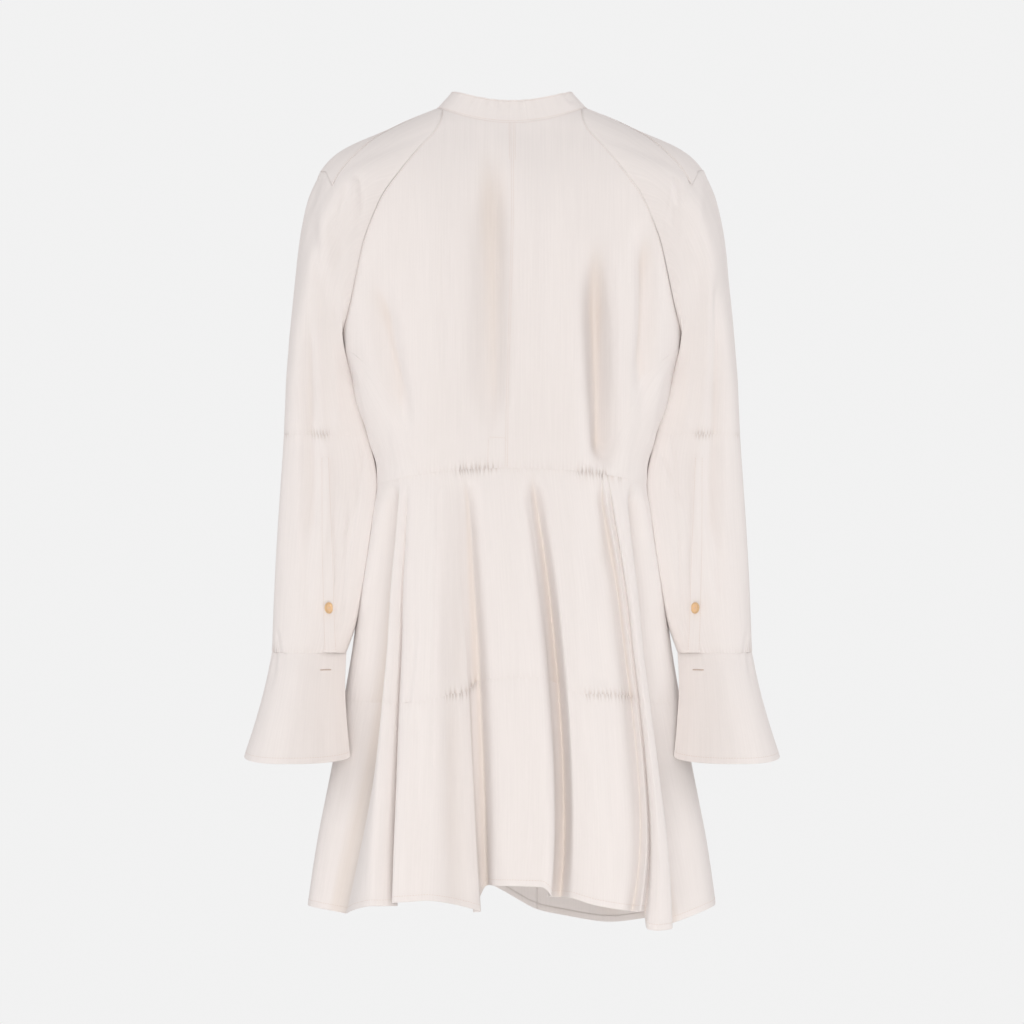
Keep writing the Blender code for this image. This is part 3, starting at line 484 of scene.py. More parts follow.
def skirtForm(u, v):
    # u counts fold lines round the ring, and v runs from the waist (0) past the tier seam (1) to the hem (2).
    # Across a fold the angle and the stand-out follow cubic curves; down it they are parabolas through the
    # waist, tier and hem values.
    u, v = np.broadcast_arrays(np.asarray(u, float), np.asarray(v, float))
    i = np.floor(u).astype(int)
    h = hermite(u - i)
    low, high = i % turn, (i + 1) % turn

    def across(name):
        values, slopes, full = foldLines[name], foldSlopes[name], fullTurn[name]
        a, b = values[low] + full * (i // turn), values[high] + full * ((i + 1) // turn)
        return a * h[0] + slopes[low] * h[1] + b * h[2] + slopes[high] * h[3]

    weights = ((v - 1) * (v - 2) / 2, v * (2 - v), v * (v - 1) / 2)
    angle = np.radians(sum(w * across(name) for w, name in zip(weights, foldAngles)))
    out = sum(w * across(name) for w, name in zip(weights, foldOuts)) * rise(v / 0.15)
    tierZ, hemZ = across("tierZ"), across("hemZ")
    behind = np.cos(angle) > 0
    topZ = np.where(behind, waistHeight(waistCut["half"] * np.sin(angle), False), waistCut["sideZ"])
    z = np.where(v < 1, topZ + (tierZ - topZ) * v, tierZ + (hemZ - tierZ) * (v - 1))
    easing = np.clip(v / 0.08, 0, 1)
    half = column(skirtSections, "halfWidth", z) * easing + waistCut["half"] * (1 - easing)
    deep = np.where(behind, column(skirtSections, "back", z), column(skirtSections, "front", z)) * easing
    deep = deep + np.where(behind, waistCut["back"], waistCut["front"]) * (1 - easing)
    normal = unit(np.stack([np.sin(angle) * deep, -np.cos(angle) * half], axis=-1))
    square = np.where(behind, bodySquare["back"], bodySquare["front"])
    y = -deep * np.cos(angle) * (1 + square * np.sin(angle) ** 2) + normal[..., 1] * out
    return stack(half * np.sin(angle) + normal[..., 0] * out, y, z)


collarCut = {"half": 0.063, "rise": 0.017, "back": 0.0229, "front": 0.026, "wall": 0.0014, "taper": 0.90,
             "lapStart": 150, "lapTurn": 12, "lap": 0.0018}
bandCut = {"wide": 0.026, "lift": 0.0014, "under": 0.001, "inset": 0.0004}


def collarForm(angle, v):
    # Stand collar by its angle from the centre back, past the centre front at both ends, where its ends lap:
    # v runs from the seam to the top edge.
    low = neckLine(angle)
    back, front = np.clip(np.cos(angle), 0, 1), np.clip(-np.cos(angle), 0, 1)
    highZ = (-neckCut["backDrop"] + collarCut["back"]) * back**2
    highZ = highZ + collarCut["rise"] * (1 - back**2 - front**2)
    highZ = highZ + (-neckCut["frontDrop"] + collarCut["front"]) * front**2
    high = stack(collarCut["half"] * np.sin(angle), low[..., 1] * collarCut["taper"], highZ)
    start = low + stack(0.0004 * np.sin(angle), -0.0004 * np.cos(angle), -0.0008 + 0 * angle)
    point = start + (high - start) * np.asarray(v)[..., None]
    lap = rise((angle - math.radians(collarCut["lapStart"])) / math.radians(collarCut["lapTurn"]))
    return point + stack(0 * angle, lap * collarCut["lap"], 0 * angle)


def bodiceBandForm(u, v):
    # Front band on the bodice: u across it, v from the waist to the neckline.
    x = (u - 0.5) * bandCut["wide"]
    low = waistCut["sideZ"] + bandCut["inset"]
    high = neckHeight(math.pi - np.arcsin(np.abs(x) / neckCut["half"])) - bandCut["inset"]
    z = low + (high - low) * v
    return stack(x, bodyDepth(x, z, True), z)


def skirtBandForm(u, v):
    # Front band on the skirt: u across it, v down the tiers as in skirtForm.
    half = column(skirtSections, "halfWidth", waistCut["sideZ"] - 0.22 * np.asarray(v, float))
    return skirtForm(centreFront + (u - 0.5) * bandCut["wide"] / (np.radians(22.0) * half), v)


print("forms ready")


def unitNormals(points, closed=False):
    # Unit normals of a grid: the cross product of its two directions.
    ahead = np.roll(points, -1, 0) - np.roll(points, 1, 0) if closed else np.gradient(points, axis=0)
    return unit(np.cross(ahead, np.gradient(points, axis=1)))


def lengths(points):
    # Distance of every grid point from its four edges, measured along the grid's own lines.
    u, v = runLengths(points), runLengths(points.swapaxes(0, 1)).T
    return {"uLow": u, "uHigh": u[-1:] - u, "vLow": v, "vHigh": v[:, -1:] - v}


def runLengths(points):
    # Distance along every line of a grid's first direction, from 0.
    steps = np.linalg.norm(np.diff(points, axis=0), axis=-1)
    return np.concatenate([np.zeros((1, points.shape[1])), np.cumsum(steps, axis=0)], axis=0)


def creases(*rows):
    # Each runs down through three points (x, z) as seen from behind. Its widths to the left and right, its
    # height (troughs are negative) and the shares over which it fades in and out are its own.
    return table("x0 z0 x1 z1 x2 z2 left right height fadeIn fadeOut", *rows)


def creaseField(x, z, rows):
    # Sum of creases: across each the height falls off as exp(-(s / width)^2), and it fades at both ends.
    total = np.zeros_like(x)
    t = np.linspace(0.0, 1.0, 17)
    curve = ((1 - t) * (1 - 2 * t), 4 * t * (1 - t), t * (2 * t - 1))
    for at in eachRow(rows):
        cx, cz = (sum(at[axis + str(k)] * share for k, share in enumerate(curve)) for axis in "xz")
        reach = 3 * max(at["left"], at["right"])
        near = (x > cx.min() - reach) & (x < cx.max() + reach)
        near &= (z > cz.min() - reach) & (z < cz.max() + reach)
        px, pz = x[near][:, None] - cx[:-1], z[near][:, None] - cz[:-1]
        dx, dz = np.diff(cx), np.diff(cz)
        f = np.clip((px * dx + pz * dz) / (dx**2 + dz**2), 0, 1)
        ox, oz = px - f * dx, pz - f * dz
        best = np.argmin(ox**2 + oz**2, axis=1)
        pick = np.arange(len(best)), best
        share = (best + f[pick]) / (len(t) - 1)
        wide = np.where((dx * oz - dz * ox)[pick] > 0, at["right"], at["left"])
        fade = rise(share / max(at["fadeIn"], 1e-9)) if at["fadeIn"] > 0 else 1.0
        fade = fade * (rise((1 - share) / at["fadeOut"]) if at["fadeOut"] > 0 else 1.0)
        total[near] += at["height"] * np.exp(-((np.hypot(ox, oz)[pick] / wide) ** 2)) * fade
    return total


def eachRow(rows):
    # A table's rows, each with its values by name.
    return [dict(zip(rows, values)) for values in zip(*rows.values())]


def flipped(rows):
    # The same creases on the other side of the centre.
    turned = {name: -rows[name] for name in ("x0", "x1", "x2")}
    return dict(rows, left=rows["right"], right=rows["left"], **turned)


def gatherRows(*rows):
    # Gathers along a seam: the stretch that they fill, their spacing, depth, reach from the seam and phase.
    return table("start end spacing depth reach phase", *rows)


def gathers(distance, along, rows):
    # Uneven ripples: a wave along the seam whose spacing and size wander, fading with the distance from it.
    total = np.zeros_like(distance)
    for at in eachRow(rows):
        s, phase = along / at["spacing"], at["phase"]
        wander = 1.8 * np.sin(s * 1.7 + phase) + 1.2 * np.sin(s * 0.73 + 2.3 * phase)
        wave = 0.5 + 0.5 * np.cos(2 * np.pi * s + wander)
        size = 0.65 + 0.35 * np.sin(s * 1.13 + 4.1 * phase)
        far = at["reach"] * (0.65 + 0.35 * np.sin(s * 0.91 + 1.3 * phase))
        inside = rise((along - at["start"]) / 0.006 + 0.5) * rise((at["end"] - along) / 0.006 + 0.5)
        near = rise(distance / 0.0010 + 0.25)
        total += at["depth"] * size * (wave**1.6 - 0.45) * np.exp(-((distance / far) ** 1.3)) * inside * near
    return total


def gathering(far, along, gathered):
    # Sum of the gathers at several edges, each an edge, its rows and the share of their depth.
    return sum(size * gathers(far[edge], along, rows) for edge, rows, size in gathered)


def gatherMask(distance, along, rows):
    # Where small puckers fill a seam: 1 at the seam in each row's stretch, fading over its reach.
    total = np.zeros_like(distance)
    for at in eachRow(rows):
        inside = rise((along - at["start"]) / 0.008 + 0.5) * rise((at["end"] - along) / 0.008 + 0.5)
        far = np.maximum(distance - cloth["tuck"], 0) / (0.6 * at["reach"])
        total += (at["depth"] / 0.0012) ** 1.5 * inside * np.exp(-(far**1.5))
    return np.clip(total, 0, 1)


def tucked(points, normals, seams):
    # Adds a row that turns in along each seam, as its allowance does.
    for edge in seams:
        axis = 0 if edge[0] == "u" else 1
        pick = [slice(None), slice(None)]
        pick[axis] = slice(0, 1) if edge.endswith("Low") else slice(-1, None)
        side = normals[tuple(pick)]
        way = 1 if edge.endswith("Low") else -1
        points = np.concatenate([points[tuple(pick)] - side * cloth["tuck"], points][::way], axis=axis)
        normals = np.concatenate([side, normals][::way], axis=axis)
    return points


def turnedUp(points, normals, deep, gap=0.0010):
    # Adds the turned-up hem past the last row: round the edge, then back up on the inner side.
    edge, inward = points[:, -1], -normals[:, -1]
    down = unit(edge - points[:, -2])
    rows = []
    for degrees in (45, 90, 135):
        a = math.radians(degrees)
        rows.append(edge + inward * gap * (1 - math.cos(a)) / 2 + down * gap * math.sin(a) / 2)
    for share in (0.0, 0.33, 0.67, 1.0):
        rows.append(edge + inward * gap - down * deep * share)
    return np.concatenate([points, np.stack(rows, axis=1)], axis=1)


def alongside(surface, edge, inset):
    # The line on a grid that keeps a given distance from one edge, with the normals there.
    points, normals, far = surface
    both, gap = np.concatenate([points, normals], axis=-1), far[edge]
    if edge[0] == "v":
        both, gap = both.swapaxes(0, 1), gap.T
    if edge.endswith("High"):
        both, gap = both[::-1], gap[::-1]
    i = np.clip((gap < inset).sum(axis=0) - 1, 0, len(gap) - 2)
    pick = np.arange(gap.shape[1])
    f = (inset - gap[i, pick]) / (gap[i + 1, pick] - gap[i, pick])
    return both[i, pick] + (both[i + 1, pick] - both[i, pick]) * f[:, None]


def meshOf(name, points, faces, material, nodes=()):
    # Mesh of equal-sided faces. faces is an array with a row of point numbers for each face.
    mesh = bpy.data.meshes.new(name)
    mesh.vertices.add(len(points))
    mesh.vertices.foreach_set("co", points.astype(np.float32).ravel())
    mesh.loops.add(faces.size)
    mesh.loops.foreach_set("vertex_index", faces.astype(np.int32).ravel())
    mesh.polygons.add(len(faces))
    mesh.polygons.foreach_set("loop_start", np.arange(0, faces.size, faces.shape[1], dtype=np.int32))
    mesh.polygons.foreach_set("loop_total", np.full(len(faces), faces.shape[1], np.int32))
    mesh.update(calc_edges=True)
    mesh.shade_smooth()
    mesh.set_sharp_from_angle(angle=math.radians(55))
    mesh.materials.append(material)
    made = bpy.data.objects.new(name, mesh)
    bpy.context.scene.collection.objects.link(made)
    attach(made, "root")
    for node in nodes:
        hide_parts(node)
    return made


def addMask(made, name, values):
    # A number for every point, which the material reads by its name.
    made.data.attributes.new(name, "FLOAT", "POINT").data.foreach_set("value", values.astype(np.float32))


def threadMap(points, closed, level):
    # The cloth's own coordinates in metres. The threads of a level piece hang straight down; on the others
    # they follow the grid's lines, spaced as in its middle row.
    if level:
        across = points[..., 0] * (1 + 0.5 * (points[..., 0] / 0.19) ** 2)
        return np.stack([across, points[..., 2]], axis=-1)
    ring = np.concatenate([points, points[:1]], axis=0) if closed else points
    along = np.linalg.norm(np.diff(ring, axis=1), axis=-1).mean(axis=0)
    along = np.concatenate([[0.0], np.cumsum(along)])
    return np.stack(grid(runLength(ring[:, ring.shape[1] // 2]), along), axis=-1)


def foldDepth(points, outward, closed):
    # Share, 0 to 1, of how deep a point lies in a fold: how far the cloth 20 mm to each side stands out
    # past it.
    rows = np.arange(len(points))
    reach = max(1, round(0.020 / np.linalg.norm(np.diff(points, axis=0), axis=-1).mean()))
    fit = (lambda k: k % len(rows)) if closed else (lambda k: np.clip(k, 0, len(rows) - 1))
    middle = (points[fit(rows - reach)] + points[fit(rows + reach)]) / 2
    hollow = ((middle - points) * unitNormals(points, closed) * outward).sum(axis=-1)
    return rise((hollow + 0.0005) / 0.012)


def clothPiece(name, points, outward, closed=False, keep=None, wall=cloth["wall"], level=False, puckers=()):
    # A cloth piece from its grid, with its wall inwards, its UV map "thread", the mask "gather" of its small
    # puckers and the depth "fold" of its folds.
    m, n = points.shape[:2]
    i, j = (part.ravel() for part in grid(np.arange(m if closed else m - 1), np.arange(n - 1)))
    ci, cj = np.stack([i, i + 1, i + 1, i], axis=1), np.stack([j, j, j + 1, j + 1], axis=1)
    if keep is not None:
        ci, cj = ci[keep(i, j)], cj[keep(i, j)]
    if outward < 0:
        ci, cj = ci[:, ::-1], cj[:, ::-1]
    used, faces = np.unique((ci % m) * n + cj, return_inverse=True)
    node = "".join("_" + c.lower() if c.isupper() else c for c in name)
    made = meshOf(name, points.reshape(-1, 3)[used], faces.reshape(ci.shape), poplin, nodes=[node])
    layer = made.data.uv_layers.new(name="thread")
    layer.data.foreach_set("uv", threadMap(points, closed, level)[ci, cj].astype(np.float32).ravel())
    far, mask = lengths(points), np.zeros((m, n))
    for edge, rows in puckers:
        mask += gatherMask(far[edge], np.abs(points[..., 0]) if closed else points[..., 0], rows)
    # The "gather" mask sets the pucker bumps and the painted shade between them.
    addMask(made, "gather", mask.ravel()[used])
    # The "fold" mask sets where the material paints shade in the folds.
    addMask(made, "fold", foldDepth(points, outward, closed).ravel()[used])
    solid = made.modifiers.new("wall", "SOLIDIFY")
    solid.thickness = wall
    solid.offset = -1.0


def sewn(name, points, outward, tucks=(), seams=(), behind=(), before=(), ripple=None, rows=(), hem=False,
         closed=False, **look):
    # Moves a piece's grid along its outward normals: seams drawn in, then creases seen from behind and from
    # the front, then ripples. Then turns its edges in, makes its cloth, and sews a row of stitches at each
    # distance from an edge. Returns the grid, its normals and its distances from the edges.
    normals, far = unitNormals(points, closed) * outward, lengths(points)
    dips = (np.exp(-((far[edge] / cloth["seamWide"]) ** 2)) for edge in seams)
    move = -cloth["seamDip"] * sum(dips, 0 * far["uLow"])
    toBack = rise((0.15 - normals[..., 1]) / 0.3)
    for tables, share in ((behind, toBack), (before, 1 - toBack)):
        for each in tables:
            move += creaseField(points[..., 0], points[..., 2], each) * share
    if ripple is not None:
        move += ripple(far, points)
    moved = points + normals * move[..., None]
    surface = moved, unitNormals(moved, closed) * outward, lengths(moved)
    whole = tucked(*surface[:2], tucks)
    clothPiece(name, turnedUp(whole, surface[1], cloth["hemDeep"]) if hem else whole, outward, closed, **look)
    for edge, inset in rows:
        ivoryRuns.append(alongside(surface, edge, inset))
    return surface


stitchCut = {"pitch": 0.0029, "length": 0.0021, "radius": 0.00026, "lift": 0.00012}
buttonThreadCut = dict(stitchCut, pitch=0.0004, length=0.0022, radius=0.00035)
buttonholeThreadCut = dict(stitchCut, pitch=0.00055, length=0.00050, radius=0.00040)


def stitches(name, runs, material, size=stitchCut):
    # Joined mesh of stitches, a small spindle for each, spaced evenly along every run of points and normals.
    parts = []
    for run in runs:
        way = runLength(run[:, :3])
        length = size["length"]
        marks = np.arange(size["pitch"] / 2, way[-1] - length, size["pitch"])
        at = lambda s: np.stack([np.interp(s, way, run[:, k]) for k in range(6)], axis=1)
        parts.append((at(marks)[:, :3], at(marks + length)[:, :3], at(marks + length / 2)[:, 3:]))
    start, end, up = (np.concatenate(part) for part in zip(*parts))
    ahead = unit(end - start)
    aside = unit(np.cross(ahead, up))
    up = np.cross(aside, ahead)
    rings = []
    for t, thick, lift in ((0.0, 0.35, 0.0), (0.5, 1.0, 1.0), (1.0, 0.35, 0.0)):
        middle = start + (end - start) * t + up * (size["lift"] * lift)
        for a in (0.0, 0.5, 1.0, 1.5):
            out = aside * math.cos(a * math.pi) + up * math.sin(a * math.pi)
            rings.append(middle + out * size["radius"] * thick)
    points = np.stack(rings, axis=1)
    corners = ((0, 0), (1, 0), (1, 4), (0, 4))
    walls = [[(k + a) % 4 + b + 4 * r for a, b in corners] for r in (0, 1) for k in range(4)]
    shape = np.array(walls + [[3, 2, 1, 0], [8, 9, 10, 11]])
    faces = (shape[None] + len(rings) * np.arange(len(points))[:, None, None]).reshape(-1, 4)
    meshOf(name, points.reshape(-1, 3), faces, material)
    return len(points)


print("tools ready")

poplinLook = {
    "colour": (0.840, 0.799, 0.782),
    "roughness": 0.85,
    "sheen": 0.2,           # specular level
    "thread": 0.00042,      # spacing of the threads
    "weaveBump": 0.20,
    "weaveHeight": 0.0002,
    "slubShade": 0.035,     # how much the slubs darken the cloth
    "crumple": 0.0007,      # height of the soft unevenness left by wear and pressing
    # Puckers: their bump height, then the painted shade between them and how it tints red, green and blue.
    "pucker": 0.0008,       # height of the small puckers along gathered seams
    "puckerPaintedShade": 0.16,    # and how much darker the cloth looks between them
    "puckerShadeTone": (0.75, 1.0, 1.15),
    # Painted warm shade in deep folds, where the mask "fold" is high:
    "foldShade": (0.05, 0.08, 0.115),    # red, green and blue that the light in a deep fold loses
}
threadLook = {"colour": (0.74, 0.64, 0.59), "roughness": 0.7}
holeThreadLook = {"colour": (0.66, 0.54, 0.48), "roughness": 0.7}
# The buttons' "rim" colour is painted shade round their edges.
buttonLook = {"colour": (0.88, 0.60, 0.34), "rim": (0.70, 0.47, 0.25), "roughness": 0.30}
floorLook = {"colour": (0.86, 0.86, 0.86), "roughness": 0.9}


def newMaterial(name, look):
    # Material with its colour and roughness set, its tree and its main shader.
    made = bpy.data.materials.new(name)
    made.use_nodes = True
    shader = made.node_tree.nodes["Principled BSDF"]
    shader.inputs["Base Color"].default_value = (*look["colour"], 1.0)
    shader.inputs["Roughness"].default_value = look["roughness"]
    return made, made.node_tree, shader


def newGroup(name, entry, value, *outs):
    # Shader node group with one number going in.
    group = bpy.data.node_groups.new(name, "ShaderNodeTree")
    group.interface.new_socket(entry, in_out="INPUT", socket_type="NodeSocketFloat").default_value = value
    for out in outs:
        group.interface.new_socket(out, in_out="OUTPUT", socket_type="NodeSocketFloat")
    return group, node(group, "NodeGroupInput").outputs[entry], node(group, "NodeGroupOutput")


def node(tree, kind, inputs=(), **settings):
    # New node; each input is given a value or another node's output.
    made = tree.nodes.new(kind)
    for name, value in settings.items():
        setattr(made, name, value)
    for name, value in dict(inputs).items():
        if isinstance(value, bpy.types.NodeSocket):
            tree.links.new(value, made.inputs[name])
        else:
            made.inputs[name].default_value = value
    return made


def mathNode(tree, operation, *inputs):
    # Output of a sum worked out by the shader from its inputs.
    return node(tree, "ShaderNodeMath", enumerate(inputs), operation=operation).outputs["Value"]


def vectorNode(tree, operation, inputs):
    # The same for vectors, with the inputs by name or place.
    return node(tree, "ShaderNodeVectorMath", inputs, operation=operation).outputs["Vector"]


def weaveGroup():
    # Plain weave in the cloth's own metres, with uneven slubs along the warp and a soft crumple.
    group, thread, out = newGroup("plainWeave", "Thread", 0.0004, "Height", "Slub", "Crumple")
    place = node(group, "ShaderNodeUVMap", uv_map="thread").outputs["UV"]
    parts = node(group, "ShaderNodeSeparateXYZ", {"Vector": place})
    waves = []
    for axis in ("X", "Y"):
        turns = mathNode(group, "DIVIDE", parts.outputs[axis], thread)
        waves.append(mathNode(group, "SINE", mathNode(group, "MULTIPLY", turns, math.pi)))
    product = mathNode(group, "MULTIPLY", *waves)

    def noise(scale, detail):
        stretched = node(group, "ShaderNodeMapping", {"Vector": place, "Scale": scale}).outputs["Vector"]
        values = {"Vector": stretched, "Scale": 1.0, "Detail": detail, "Roughness": 0.55}
        return node(group, "ShaderNodeTexNoise", values).outputs["Fac"]

    slub = noise((560.0, 14.0, 1.0), 3.0)
    group.links.new(mathNode(group, "MULTIPLY_ADD", product, 0.35, slub), out.inputs["Height"])
    group.links.new(slub, out.inputs["Slub"])
    group.links.new(noise((46.0, 20.0, 1.0), 4.0), out.inputs["Crumple"])
    return group


def puckerGroup():
    # Small puckers along a gathered seam: an uneven wave across the thread direction, inside the mask.
    group, spacing, out = newGroup("seamPuckers", "Spacing", 0.0046, "Height", "Hollow")
    mask = node(group, "ShaderNodeAttribute", attribute_name="gather")
    place = node(group, "ShaderNodeUVMap", uv_map="thread").outputs["UV"]
    along = node(group, "ShaderNodeSeparateXYZ", {"Vector": place}).outputs["X"]
    wander = node(group, "ShaderNodeTexNoise", {"Vector": along, "Scale": 95.0, "Detail": 1.0})
    even = mathNode(group, "DIVIDE", along, spacing)
    turns = mathNode(group, "MULTIPLY_ADD", wander.outputs["Fac"], 1.4, even)
    wave = mathNode(group, "COSINE", mathNode(group, "MULTIPLY", turns, 2 * math.pi))
    hollow = mathNode(group, "POWER", mathNode(group, "MULTIPLY_ADD", wave, -0.5, 0.5), 1.6)
    hollow = mathNode(group, "MULTIPLY", hollow, mask.outputs["Fac"])
    # Hollow also sets how much painted shade the cloth gets between the puckers.
    group.links.new(hollow, out.inputs["Hollow"])
    group.links.new(mathNode(group, "MULTIPLY", hollow, -1.0), out.inputs["Height"])
    return group


def poplinMaterial():
    # Ivory, darker at the slubs, with painted shade between the puckers and painted warmer shade in the
    # folds.
    look = poplinLook
    made, tree, shader = newMaterial("ivoryPoplin", look)
    weave = node(tree, "ShaderNodeGroup", {"Thread": look["thread"]}, node_tree=weaveGroup()).outputs
    pucker = node(tree, "ShaderNodeGroup", node_tree=puckerGroup()).outputs
    fold = node(tree, "ShaderNodeAttribute", attribute_name="fold").outputs["Fac"]
    shade = node(tree, "ShaderNodeMapRange", {
        "Value": weave["Slub"], "From Min": 0.3, "From Max": 0.7,
        "To Min": 1 - look["slubShade"], "To Max": 1.0,
    })
    colour = vectorNode(tree, "SCALE", {0: look["colour"], "Scale": shade.outputs["Result"]})
    hollow = mathNode(tree, "MULTIPLY", pucker["Hollow"], -look["puckerPaintedShade"])
    # Painted shade: the colour loses a share of red, green and blue between the puckers and in deep folds.
    for lost, share in ((look["puckerShadeTone"], hollow), ([-part for part in look["foldShade"]], fold)):
        lost = vectorNode(tree, "SCALE", {0: lost, "Scale": share})
        colour = vectorNode(tree, "MULTIPLY_ADD", {0: lost, 1: colour, 2: colour})
    tree.links.new(colour, shader.inputs["Base Color"])
    bumps = (
        (1.0, look["pucker"], pucker["Height"]),
        (1.0, look["crumple"], weave["Crumple"]),
        (look["weaveBump"], look["weaveHeight"], weave["Height"]),
    )
    normal = (0.0, 0.0, 0.0)
    for strength, distance, height in bumps:
        values = {"Strength": strength, "Distance": distance, "Height": height, "Normal": normal}
        normal = node(tree, "ShaderNodeBump", values).outputs["Normal"]
    tree.links.new(normal, shader.inputs["Normal"])
    shader.inputs["Specular IOR Level"].default_value = look["sheen"]
    return made


def hornMaterial():
    # Amber-coloured, with painted shade round the rim; the mask "rim" belongs to the button's mesh.
    made, tree, shader = newMaterial("amberHorn", buttonLook)
    mask = node(tree, "ShaderNodeAttribute", attribute_name="rim").outputs["Fac"]
    mix = node(tree, "ShaderNodeMix", {
        "Factor": mask, "A": (*buttonLook["colour"], 1.0), "B": (*buttonLook["rim"], 1.0)}, data_type="RGBA")
    tree.links.new(mix.outputs["Result"], shader.inputs["Base Color"])
    return made


poplin, horn = poplinMaterial(), hornMaterial()
thread, holeThread = newMaterial("ivoryThread", threadLook)[0], newMaterial("brownThread", holeThreadLook)[0]
print("finishes ready")

# Creases of the back: soft troughs and ridges that fall from the shoulders to the waist, deepest on the
# right, then the small wrinkles beside the right raglan seam, then the gore, the front and its two tiers.
backCreases = creases(
    (-0.1403, -0.1672, -0.1290, -0.2573, -0.1075, -0.3576, 0.0133, 0.0133, -0.0150, 0.35, 0.3),
    (-0.0717, -0.0679, -0.0717, -0.2061, -0.0686, -0.3453, 0.0246, 0.0184, 0.0070, 0.3, 0.35),
    (-0.0225, -0.0198, -0.0195, -0.1959, -0.0225, -0.3761, 0.0225, 0.0154, -0.0160, 0.3, 0.25),
    (0.0246, -0.0423, 0.0266, -0.2061, 0.0297, -0.3494, 0.0184, 0.0225, 0.0070, 0.3, 0.35),
    (0.0839, -0.1293, 0.0891, -0.2573, 0.0962, -0.3842, 0.0133, 0.0102, -0.0240, 0.4, 0.12),
    (0.1024, -0.1396, 0.1075, -0.2368, 0.1024, -0.3494, 0.0092, 0.0082, 0.0035, 0.35, 0.3),
    (0.1331, -0.1160, 0.1392, -0.2164, 0.1331, -0.3290, 0.0102, 0.0092, -0.0140, 0.3, 0.3),
)
raglanWrinkles = creases(
    (0.0932, -0.0505, 0.0983, -0.0536, 0.1054, -0.0526, 0.0016, 0.0016, -0.0005, 0.3, 0.3),
    (0.1034, -0.0648, 0.1095, -0.0679, 0.1177, -0.0669, 0.0016, 0.0016, -0.0005, 0.3, 0.3),
    (0.1136, -0.0802, 0.1198, -0.0843, 0.1280, -0.0833, 0.0016, 0.0016, -0.0005, 0.3, 0.3),
    (0.1228, -0.0945, 0.1290, -0.0986, 0.1372, -0.0976, 0.0016, 0.0016, -0.0005, 0.3, 0.3),
    (0.1474, -0.2041, 0.1536, -0.2092, 0.1607, -0.2082, 0.0018, 0.0018, -0.0006, 0.3, 0.3),
    (0.1505, -0.2164, 0.1566, -0.2215, 0.1638, -0.2204, 0.0018, 0.0018, -0.0006, 0.3, 0.3),
    (0.1546, -0.2286, 0.1607, -0.2338, 0.1679, -0.2327, 0.0018, 0.0018, -0.0006, 0.3, 0.3),
)
goreCreases = creases(
    (-0.1659, -0.2552, -0.1535, -0.3049, -0.1421, -0.3755, 0.0041, 0.0052, 0.0014, 0.3, 0.2),
    (-0.1711, -0.2573, -0.1586, -0.3112, -0.1493, -0.3837, 0.0026, 0.0026, -0.0012, 0.3, 0.2),
    (-0.1472, -0.2863, -0.1338, -0.3278, -0.1244, -0.3900, 0.0041, 0.0052, -0.0012, 0.3, 0.1),
    (0.1649, -0.2552, 0.1503, -0.3070, 0.1410, -0.3755, 0.0052, 0.0041, 0.0014, 0.3, 0.2),
    (0.1711, -0.2573, 0.1576, -0.3112, 0.1493, -0.3837, 0.0026, 0.0026, -0.0012, 0.3, 0.2),
    (0.1452, -0.2863, 0.1327, -0.3329, 0.1244, -0.3900, 0.0052, 0.0041, -0.0014, 0.3, 0.1),
)
frontCreases = creases(
    (-0.058, -0.110, -0.056, -0.250, -0.048, -0.388, 0.013, 0.011, -0.0048, 0.3, 0.15),
    (-0.106, -0.170, -0.103, -0.280, -0.088, -0.388, 0.009, 0.011, -0.0070, 0.3, 0.15),
    (-0.082, -0.150, -0.081, -0.270, -0.069, -0.388, 0.010, 0.010, 0.0024, 0.3, 0.05),
    (-0.134, -0.215, -0.128, -0.270, -0.116, -0.340, 0.008, 0.008, -0.0042, 0.3, 0.30),
    (0.052, -0.095, 0.061, -0.240, 0.051, -0.388, 0.011, 0.014, -0.0044, 0.3, 0.15),
    (0.114, -0.190, 0.105, -0.290, 0.085, -0.388, 0.011, 0.009, -0.0066, 0.3, 0.15),
    (0.084, -0.140, 0.086, -0.260, 0.070, -0.388, 0.011, 0.009, 0.0022, 0.3, 0.05),
    (0.138, -0.230, 0.130, -0.290, 0.120, -0.350, 0.007, 0.008, -0.0036, 0.3, 0.30),
)
frontSkirtCreases = creases(
    (-0.048, -0.393, -0.056, -0.490, -0.062, -0.600, 0.010, 0.013, -0.0042, 0.1, 0.35),
    (-0.086, -0.396, -0.100, -0.500, -0.112, -0.618, 0.009, 0.009, 0.0024, 0.1, 0.10),
    (0.044, -0.393, 0.049, -0.470, 0.057, -0.560, 0.012, 0.010, -0.0036, 0.1, 0.40),
    (0.094, -0.396, 0.107, -0.510, 0.118, -0.618, 0.009, 0.011, -0.0046, 0.1, 0.15),
)
frontFlounceCreases = creases(
    (-0.070, -0.622, -0.076, -0.720, -0.074, -0.820, 0.010, 0.012, -0.0034, 0.2, 0.10),
    (0.060, -0.622, 0.064, -0.700, 0.070, -0.800, 0.012, 0.010, -0.0030, 0.2, 0.30),
    (0.128, -0.622, 0.136, -0.720, 0.140, -0.840, 0.010, 0.010, -0.0040, 0.2, 0.00),
)
waistGathers = gatherRows(
    (-0.140, 0.140, 0.0064, 0.00035, 0.011, 0.3),
    (-0.057, -0.015, 0.0043, 0.00120, 0.008, 1.1),
    (0.067, 0.114, 0.0045, 0.00120, 0.009, 2.0),
)
elbowGathers = gatherRows(
    (0.160, 0.245, 0.0060, 0.00025, 0.008, 0.9),
    (0.192, 0.210, 0.0032, 0.00130, 0.007, 0.4),
    (0.2345, 0.2400, 0.0026, 0.00090, 0.005, 0.4),
)
